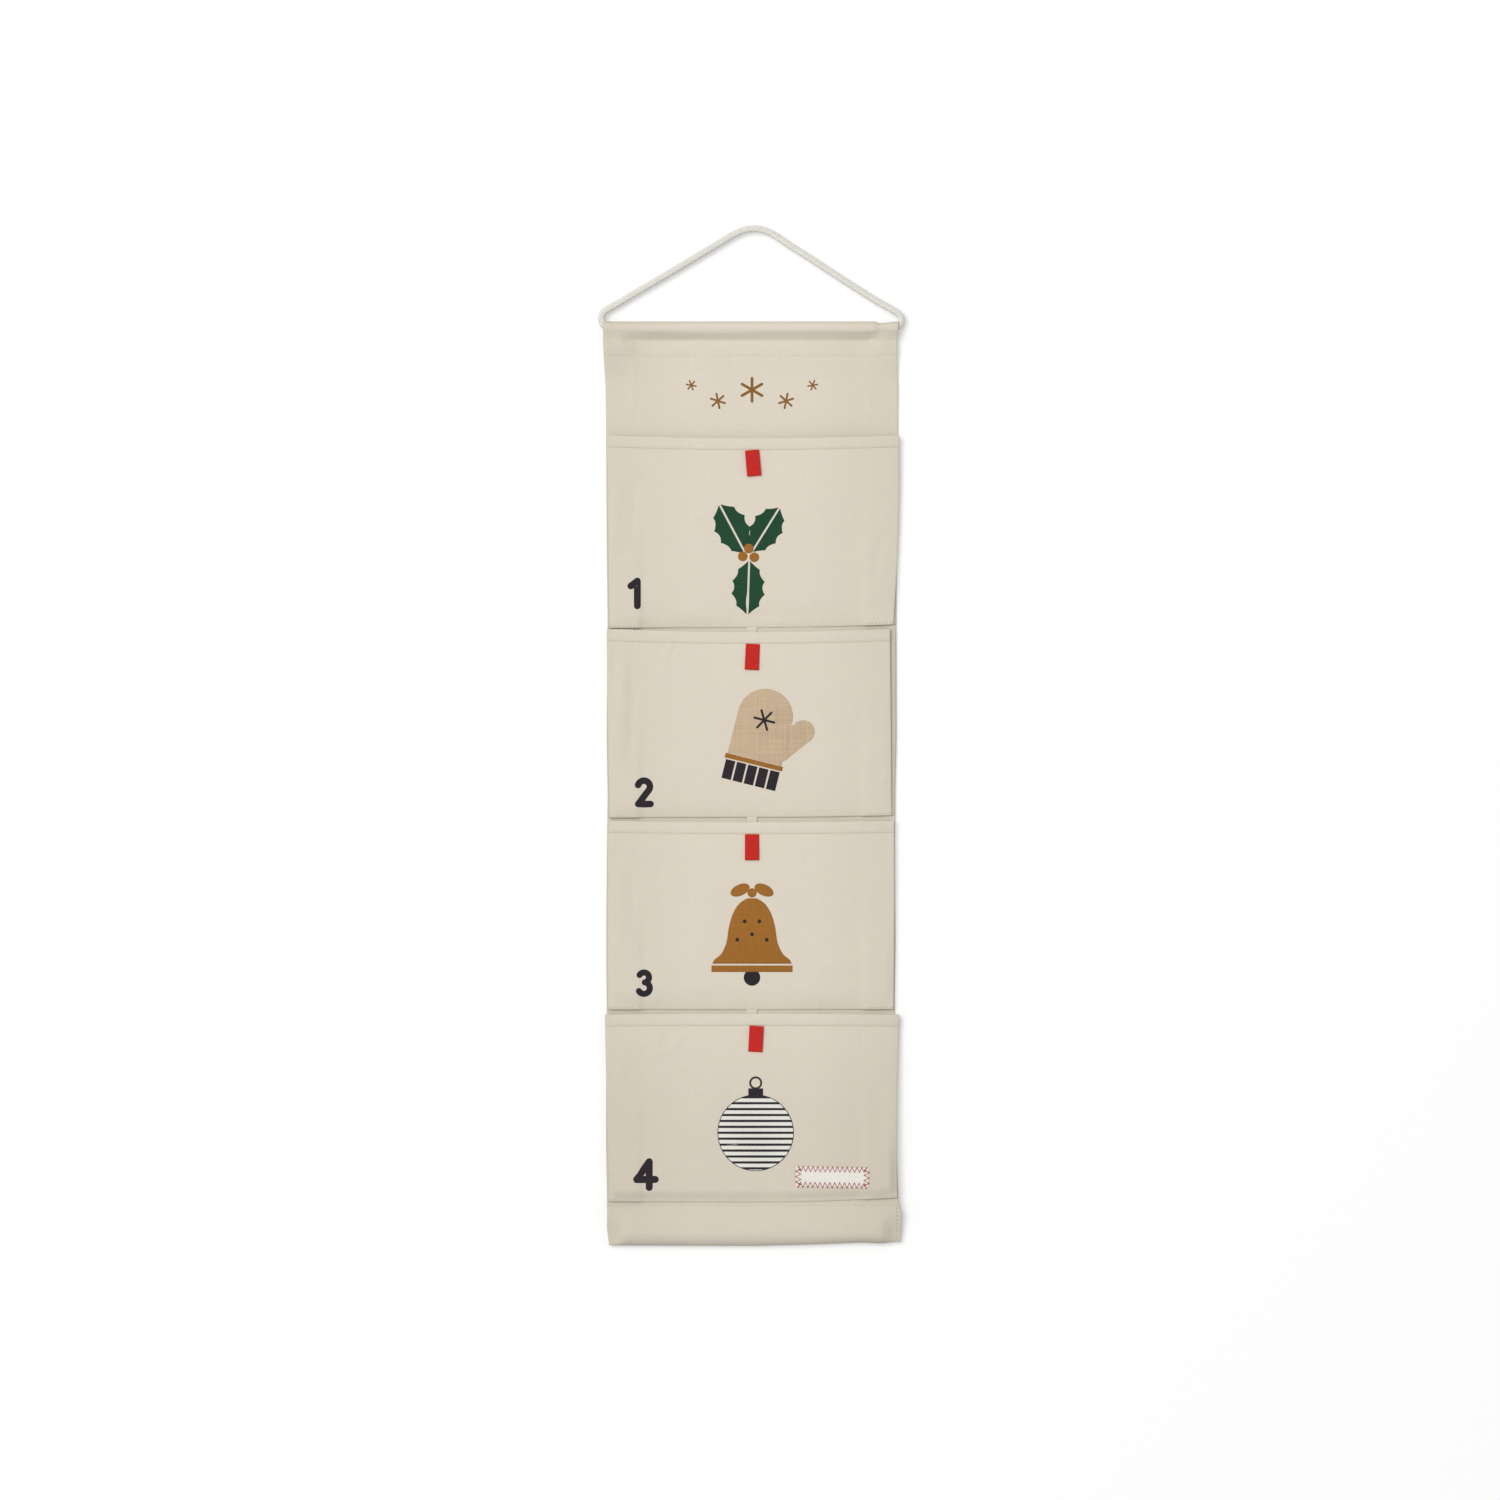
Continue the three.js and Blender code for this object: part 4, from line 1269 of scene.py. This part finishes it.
MITTEN_PLACE = in_mm([8, -551])
MITTEN_TURN = -14
PALM = {"half": 30 * MM, "low": -22 * MM, "high": 26 * MM}
THUMB = in_mm([(24, -6), (44, 20)])
THUMB_WIDTH = 25 * MM
CUFF = {"half": 31 * MM, "low": -50 * MM, "high": -29 * MM}
CUFF_RIBS = 5
CUFF_RIB_SHARE = 0.84
TRIM = {"half": 32 * MM, "low": -27.5 * MM, "high": -22.5 * MM}
FLAKE = {"middle": (0, 22 * MM), "reach": 11 * MM, "width": 2.4 * MM}


def bar(sizes, shift=0.0, half=None):
    """A rectangle as an outline."""
    left, right = shift - (half or sizes["half"]), shift + (half or sizes["half"])
    return [(left, sizes["low"]), (right, sizes["low"]), (right, sizes["high"]), (left, sizes["high"])]


def mitten(body, face):
    there = printer(body, face, MITTEN_PLACE, turn=MITTEN_TURN)
    dome = arc((0, PALM["high"]), PALM["half"], 0, 180, CURVE_STEPS)
    palm = [(-PALM["half"], PALM["low"]), (PALM["half"], PALM["low"]), *dome]
    there("mitten_hand", [palm, *stroke(THUMB, THUMB_WIDTH)], "linen")
    rib = CUFF["half"] / CUFF_RIBS
    ribs = [bar(CUFF, (2 * k + 1 - CUFF_RIBS) * rib, CUFF_RIB_SHARE * rib) for k in range(CUFF_RIBS)]
    there("mitten_cuff", ribs, "charcoal")
    there("mitten_trim", [bar(TRIM)], "ochre", layer=2)
    there("mitten_flake", rays(first_turn=0, **FLAKE), "charcoal", layer=2)


BELL_PLACE = in_mm([0, -760])
# Heights on the bell, each with the bell's half width there
BELL_PROFILE = in_mm([(-34, 43), (-30, 41), (-24, 34), (-12, 28), (6, 25), (22, 20), (32, 13), (37, 5)])
BELL_PROFILE_STEPS = 5
BELL_RIM = {"half": 44 * MM, "low": -43 * MM, "high": -36 * MM}
CLAPPER = {"middle": (0, -49 * MM), "radius": 9 * MM}
KNOT = {"middle": (0, 43 * MM), "radius": 5 * MM}
BOW_LOOPS = [(-13, 46, 25), (13, 46, -25)]  # X and Z in millimetres, and turn in degrees
BOW_LENGTH = 11 * MM
BOW_TALL_SHARE = 0.55
BELL_DOTS = in_mm([(-16, -8), (0, -2), (16, -8), (-8, 12), (8, 12)])
DOT_RADIUS = 2 * MM


def bell(body, face):
    there = printer(body, face, BELL_PLACE)
    right = [tuple(p) for p in through_points(BELL_PROFILE[:, ::-1], BELL_PROFILE_STEPS)]
    outline = right + [(-w, z) for w, z in right[::-1]]
    loops = []
    for x, z, turn in BOW_LOOPS:
        loops += placed([disc((0, 0), 1, BOW_TALL_SHARE)], in_mm([x, z]), BOW_LENGTH, turn)
    there("bell_clapper", [disc(**CLAPPER)], "charcoal")
    there("bell_body", [outline, bar(BELL_RIM), *loops, disc(**KNOT)], "ochre", layer=2)
    there("bell_dots", [disc(place, DOT_RADIUS) for place in BELL_DOTS], "charcoal", layer=3)


BAUBLE_PLACE = in_mm([4, -977])
BAUBLE_RADIUS = 41 * MM
BAUBLE_LINE = 0.7 * MM
BAUBLE_STEPS = 64
STRIPE_PITCH = 6.4 * MM
STRIPE_WIDTH = 2.4 * MM
STRIPE_STEPS = 6
BAUBLE_CAP = {"half": 8 * MM, "low": 39.5 * MM, "high": 48 * MM}
EYE_MIDDLE = (0, 54 * MM)
EYE_RADIUS = 6 * MM
EYE_WIRE = 2 * MM
EYE_STEPS = 24


def band_of_disc(low, high, radius):
    """The part of a round between two heights."""
    right = [(math.sqrt(max(radius**2 - z**2, 0)), z) for z in np.linspace(low, high, STRIPE_STEPS)]
    return right + [(-x, z) for x, z in right[::-1]]


def bauble(body, face):
    there = printer(body, face, BAUBLE_PLACE)
    there("bauble_ground", [disc((0, 0), BAUBLE_RADIUS)], "white")
    count = int(BAUBLE_RADIUS / STRIPE_PITCH)
    stripes = [
        band_of_disc(z - STRIPE_WIDTH / 2, min(z + STRIPE_WIDTH / 2, BAUBLE_RADIUS), BAUBLE_RADIUS)
        for z in (k * STRIPE_PITCH for k in range(-count, count + 1))
    ]
    ring = stroke(arc((0, 0), BAUBLE_RADIUS, 0, 360, BAUBLE_STEPS), BAUBLE_LINE)
    eye = stroke(arc(EYE_MIDDLE, EYE_RADIUS, 0, 360, EYE_STEPS), EYE_WIRE)
    there("bauble_stripes", [*stripes, *ring, bar(BAUBLE_CAP), *eye], "charcoal", layer=2)


# Stitches

SPINDLE = {"Segments": 6, "Rings": 4, "Radius": 0.5}
THREAD_SIDES = 6


class Sewing(Nodes):
    """A tree that turns the edges of a mesh to thread, with the sizes named."""

    def __init__(self, name, sizes):
        super().__init__(bpy.data.node_groups.new(name, "GeometryNodeTree"))
        self.tree.is_modifier = True
        new = self.tree.interface.new_socket
        new("Lines", in_out="INPUT", socket_type="NodeSocketGeometry")
        for size in sizes:
            new(size, in_out="INPUT", socket_type="NodeSocketFloat")
        new("Finish", in_out="INPUT", socket_type="NodeSocketMaterial")
        new("Sewn", in_out="OUTPUT", socket_type="NodeSocketGeometry")
        self.given = self.add("NodeGroupInput")
        self.curve = self.add("GeometryNodeMeshToCurve", {"Mesh": self.size("Lines")})

    def size(self, name):
        return self.given.outputs[name]

    def done(self, geometry):
        real = self.add("GeometryNodeRealizeInstances", {"Geometry": geometry})
        painted = self.add("GeometryNodeSetMaterial", {"Geometry": real, "Material": self.size("Finish")})
        self.add("NodeGroupOutput", {"Sewn": painted})
        return self.tree


def stitch_tree():
    """Stitches a pitch apart along the edges of a mesh, each one a small spindle of thread."""
    nodes = Sewing("stitch_row", ("Pitch", "Stitch length", "Thread"))
    feeds = {"Curve": nodes.curve, "Length": nodes.size("Pitch")}
    points = nodes.add("GeometryNodeCurveToPoints", feeds, mode="LENGTH")
    thread, length = nodes.size("Thread"), nodes.size("Stitch length")
    size = nodes.add("ShaderNodeCombineXYZ", {"X": thread, "Y": thread, "Z": length})
    ball = nodes.add("GeometryNodeMeshUVSphere", SPINDLE)
    spindle = nodes.add("GeometryNodeTransform", {"Geometry": ball, "Scale": size})
    feeds = {"Points": points, "Instance": spindle, "Rotation": points.outputs["Rotation"]}
    return nodes.done(nodes.add("GeometryNodeInstanceOnPoints", feeds))


def zigzag_tree():
    """A thread that zigzags along the edges of a mesh, with its turns to both sides of them."""
    nodes = Sewing("zigzag_thread", ("Half pitch", "Swing", "Thread"))
    feeds = {"Curve": nodes.curve, "Length": nodes.size("Half pitch")}
    even = nodes.add("GeometryNodeResampleCurve", feeds, mode="LENGTH")
    odd = nodes.math("MODULO", nodes.add("GeometryNodeInputIndex"), 2.0)
    swing = nodes.times(nodes.math("MULTIPLY_ADD", odd, 2.0, -1.0), nodes.size("Swing"))
    feeds = {0: nodes.add("GeometryNodeInputTangent"), 1: tuple(FRONT)}
    aside = nodes.add("ShaderNodeVectorMath", feeds, operation="CROSS_PRODUCT")
    offset = nodes.add("ShaderNodeVectorMath", {0: aside, "Scale": swing}, operation="SCALE")
    moved = nodes.add("GeometryNodeSetPosition", {"Geometry": even, "Offset": offset})
    feeds = {"Resolution": THREAD_SIDES, "Radius": nodes.size("Thread")}
    ring = nodes.add("GeometryNodeCurvePrimitiveCircle", feeds)
    return nodes.done(nodes.add("GeometryNodeCurveToMesh", {"Curve": moved, "Profile Curve": ring}))


def grown(name, lines, tree, sizes, material, body):
    """What a node tree makes along lines, as a plain mesh."""
    points = [tuple(p) for line in lines for p in line]
    edges, start = [], 0
    for line in lines:
        edges += [(start + k, start + k + 1) for k in range(len(line) - 1)]
        start += len(line)
    guide_mesh = bpy.data.meshes.new(name + "_guide")
    guide_mesh.from_pydata(points, edges, [])
    guide = bpy.data.objects.new(name + "_guide", guide_mesh)
    bpy.context.collection.objects.link(guide)
    modifier = guide.modifiers.new("grown", "NODES")
    modifier.node_group = tree
    given = {**sizes, "Finish": material}
    for item in tree.interface.items_tree:
        if item.in_out == "INPUT" and item.name in given:
            modifier[item.identifier] = given[item.name]
    bpy.context.view_layer.update()
    graph = bpy.context.evaluated_depsgraph_get()
    mesh = bpy.data.meshes.new_from_object(guide.evaluated_get(graph))
    bpy.data.objects.remove(guide)
    mesh.shade_smooth()
    piece = bpy.data.objects.new(name, mesh)
    bpy.context.collection.objects.link(piece)
    lay_on(piece, body)


STITCH_LIFT = 0.12 * MM
LINE_STEP = 2 * MM
HEM_STITCH_POINTS = 150
HEM_STITCH_ENDS = (0.012, 0.988)
EDGE_MARGIN = 4 * MM
CORNER_ROW = 27 * MM
CORNER_STITCH_RISE = 1.8 * MM
BACK_ROW_INSET = 2 * MM
EDGE_ROW = in_mm([(157, -1059), (157.4, -1092)])
ZIGZAG_INSET = 2 * MM
POCKET_STITCH = {"Pitch": 3.1 * MM, "Stitch length": 2.3 * MM, "Thread": 0.45 * MM}
CORNER_STITCH = {"Pitch": 3.6 * MM, "Stitch length": 1.6 * MM, "Thread": 0.7 * MM}
BANNER_STITCH = {"Pitch": 3.2 * MM, "Stitch length": 2.3 * MM, "Thread": 0.45 * MM}
EDGE_STITCH = {"Pitch": 4 * MM, "Stitch length": 2 * MM, "Thread": 0.8 * MM}
ZIGZAG = {"Half pitch": 2.6 * MM, "Swing": 2.9 * MM, "Thread": 0.7 * MM}


def line_on(face, start, end, lift=STITCH_LIFT):
    """A line over the cloth between two places, just in front of it."""
    length = math.hypot(end[0] - start[0], end[1] - start[1])
    t = np.linspace(0, 1, max(2, round(length / LINE_STEP)))
    x, z = mix(start[0], end[0], t), mix(start[1], end[1], t)
    return np.stack([x, face(x, z) - lift, z], -1)


def along_seam(pocket, start, end, rise):
    """A line on a pocket's front that keeps its distance from the bottom seam."""
    x = np.linspace(start, end, round((end - start) / LINE_STEP))
    z = seam_level(pocket, x) + rise
    return np.stack([x, front_middle(pocket, x, z) - CANVAS_CLOTH / 2 - STITCH_LIFT, z], -1)


def pocket_stitches(pocket, tree):
    up = 1 - HEM_HEIGHT / pocket.height + HEM_STITCH_RISE / pocket.height
    row = hem_row(pocket, np.linspace(*HEM_STITCH_ENDS, HEM_STITCH_POINTS), up)
    hem = row + FRONT * (CANVAS_CLOTH / 2 + STITCH_LIFT)
    left, right = pocket.seam
    seam = along_seam(pocket, left + EDGE_MARGIN, right - EDGE_MARGIN, SEAM_STITCH_RISE)
    grown(f"pocket_stitches_{pocket.number}", [hem, seam], tree, POCKET_STITCH, THREAD, pocket.body)
    corners = [
        along_seam(pocket, left + EDGE_MARGIN / 2, left + CORNER_ROW, CORNER_STITCH_RISE),
        along_seam(pocket, right - CORNER_ROW, right - EDGE_MARGIN / 2, CORNER_STITCH_RISE),
    ]
    grown(f"corner_stitches_{pocket.number}", corners, tree, CORNER_STITCH, DARK_THREAD, pocket.body)


def back_face(x, z):
    """The back of the cloth that is turned to the back, seen from the wall."""
    return LAY_MIDDLE + CANVAS_CLOTH / 2 - stand(x, z)


def banner_stitches(tree, face):
    inner = BANNER_HALF - SIDE_HEM + BACK_ROW_INSET
    edge = BANNER_HALF - EDGE_MARGIN
    rows = [line_on(face, (-edge, level), (edge, level)) for level in (TOP_STITCH, BOTTOM_STITCH)]
    rows += [
        line_on(back_face, (side * inner, TOP_STITCH), (side * inner, BOTTOM_STITCH), -STITCH_LIFT)
        for side in (-1, 1)
    ]
    rows += [
        line_on(back_face, (-edge, level), (edge, level), -STITCH_LIFT)
        for level in (TOP_STITCH - BACK_ROW_INSET, BOTTOM_STITCH + BACK_ROW_INSET)
    ]
    grown("banner_stitches", rows, tree, BANNER_STITCH, THREAD, "banner")
    grown("edge_stitches", [line_on(face, *EDGE_ROW)], tree, EDGE_STITCH, DARK_THREAD, "banner")


def label_stitches(pocket, tree):
    half_u, half_v = LABEL_WIDTH / 2 - ZIGZAG_INSET, LABEL_HEIGHT / 2 - ZIGZAG_INSET
    signs = [(-1, 1), (1, 1), (1, -1), (-1, -1), (-1, 1)]
    corners = [(a * half_u, b * half_v) for a, b in signs]
    lift = CANVAS_CLOTH / 2 + LABEL_LIFT + LABEL_CLOTH + STITCH_LIFT
    lines = []
    for a, b in zip(corners, corners[1:]):
        t = np.linspace(0, 1, max(2, round(math.dist(a, b) / LINE_STEP)))
        x, z = on_label(pocket, mix(a[0], b[0], t), mix(a[1], b[1], t))
        lines.append(np.stack([x, front_middle(pocket, x, z) - lift, z], -1))
    grown("label_zigzag", lines, tree, ZIGZAG, RED_THREAD, pocket.body)


# Wall and light

WALL_AWAY = 1.6 * MM  # between the banner's back and the wall
WALL_HALF = 4.0
WALL_WHITE = 0.8
WALL_GLOW = 0.23
WHITE = (1, 1, 1, 1)
SKY = 0.51
KEY = {"place": (-2.8, -8.0, 1.7), "size": 5.0, "power": 455}
BANNER_CENTRE = (TOP_EDGE + BOTTOM_EDGE) / 2


def wall():
    """A white wall that only the camera sees, and only from the front, so that the back is lit too."""
    y = LAY_INSIDE + CLOTH + WALL_AWAY
    signs = [(-1, -1), (1, -1), (1, 1), (-1, 1)]
    corners = [(a * WALL_HALF, y, b * WALL_HALF + BANNER_CENTRE) for a, b in signs]
    mesh = bpy.data.meshes.new("wall")
    mesh.from_pydata(corners, [], [(0, 1, 2, 3)])
    nodes = Finish("wall_paint")
    nodes.done((WALL_WHITE, WALL_WHITE, WALL_WHITE, 1), roughness=1.0, shine=0.0)
    nodes.feed(nodes.shader, {"Emission Color": WHITE, "Emission Strength": WALL_GLOW})
    front = nodes.math("SUBTRACT", 1.0, nodes.add("ShaderNodeNewGeometry").outputs["Backfacing"])
    seen = nodes.times(nodes.add("ShaderNodeLightPath").outputs["Is Camera Ray"], front)
    clear = nodes.add("ShaderNodeBsdfTransparent")
    blend = nodes.add("ShaderNodeMixShader", {0: seen, 1: clear, 2: nodes.shader})
    nodes.feed(nodes.tree.nodes["Material Output"], {"Surface": blend})
    add_object("wall", mesh, nodes.material)


def sky():
    """White where the camera or a reflection sees it, and softer as a light."""
    world = bpy.data.worlds.new("sky")
    world.use_nodes = True
    nodes = Nodes(world.node_tree)
    path = nodes.add("ShaderNodeLightPath")
    seen = nodes.math("MAXIMUM", path.outputs["Is Camera Ray"], path.outputs["Is Glossy Ray"])
    seen = nodes.math("MAXIMUM", seen, path.outputs["Is Transmission Ray"])
    strength = nodes.add("ShaderNodeMapRange", {"Value": seen, "To Min": SKY, "To Max": 1.0})
    nodes.feed(nodes.tree.nodes["Background"], {"Color": WHITE, "Strength": strength})
    bpy.context.scene.world = world


def key_light():
    data = bpy.data.lights.new("key", "AREA")
    data.size = KEY["size"]
    data.energy = KEY["power"]
    light = bpy.data.objects.new("key", data)
    light.location = KEY["place"]
    aim = Vector((0, 0, BANNER_CENTRE)) - light.location
    light.rotation_euler = aim.to_track_quat("-Z", "Y").to_euler()
    bpy.context.collection.objects.link(light)


# Making the calendar

add_camera()
hanging_cord()
cord_in_tunnel()

banner_places, facing = banner_grid()
banner = banner_cloth(banner_places)
banner_face = face_over(banner_places[facing])
hems = [side_hem(side) for side in (-1, 1)]
tapes = [centre_tape(upper, lower) for upper, lower in zip(POCKETS, POCKETS[1:])]
fronts = [pocket_front(pocket) for pocket in POCKETS]
gussets = [[gusset(pocket, side) for side in (-1, 1)] for pocket in POCKETS]
for pocket in POCKETS:
    pull_tab(pocket)
    numeral(pocket, face_of(pocket))
ON_CLOTH[POCKETS[-1].body].append(label_patch(POCKETS[-1]))

for number, (x, z, width, turn) in enumerate(STARS, 1):
    ray_star(number, in_mm([x, z]), width * MM, turn, banner_face)
for motif, pocket in zip((sprig, mitten, bell, bauble), POCKETS):
    motif(pocket.body, face_of(pocket))

rows = stitch_tree()
for pocket in POCKETS:
    pocket_stitches(pocket, rows)
banner_stitches(rows, banner_face)
label_stitches(POCKETS[-1], zigzag_tree())

for name in ("top_rod", "bottom_rod"):
    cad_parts[name].data.materials.clear()
    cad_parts[name].data.materials.append(ALUMINIUM)

wall()
sky()
key_light()
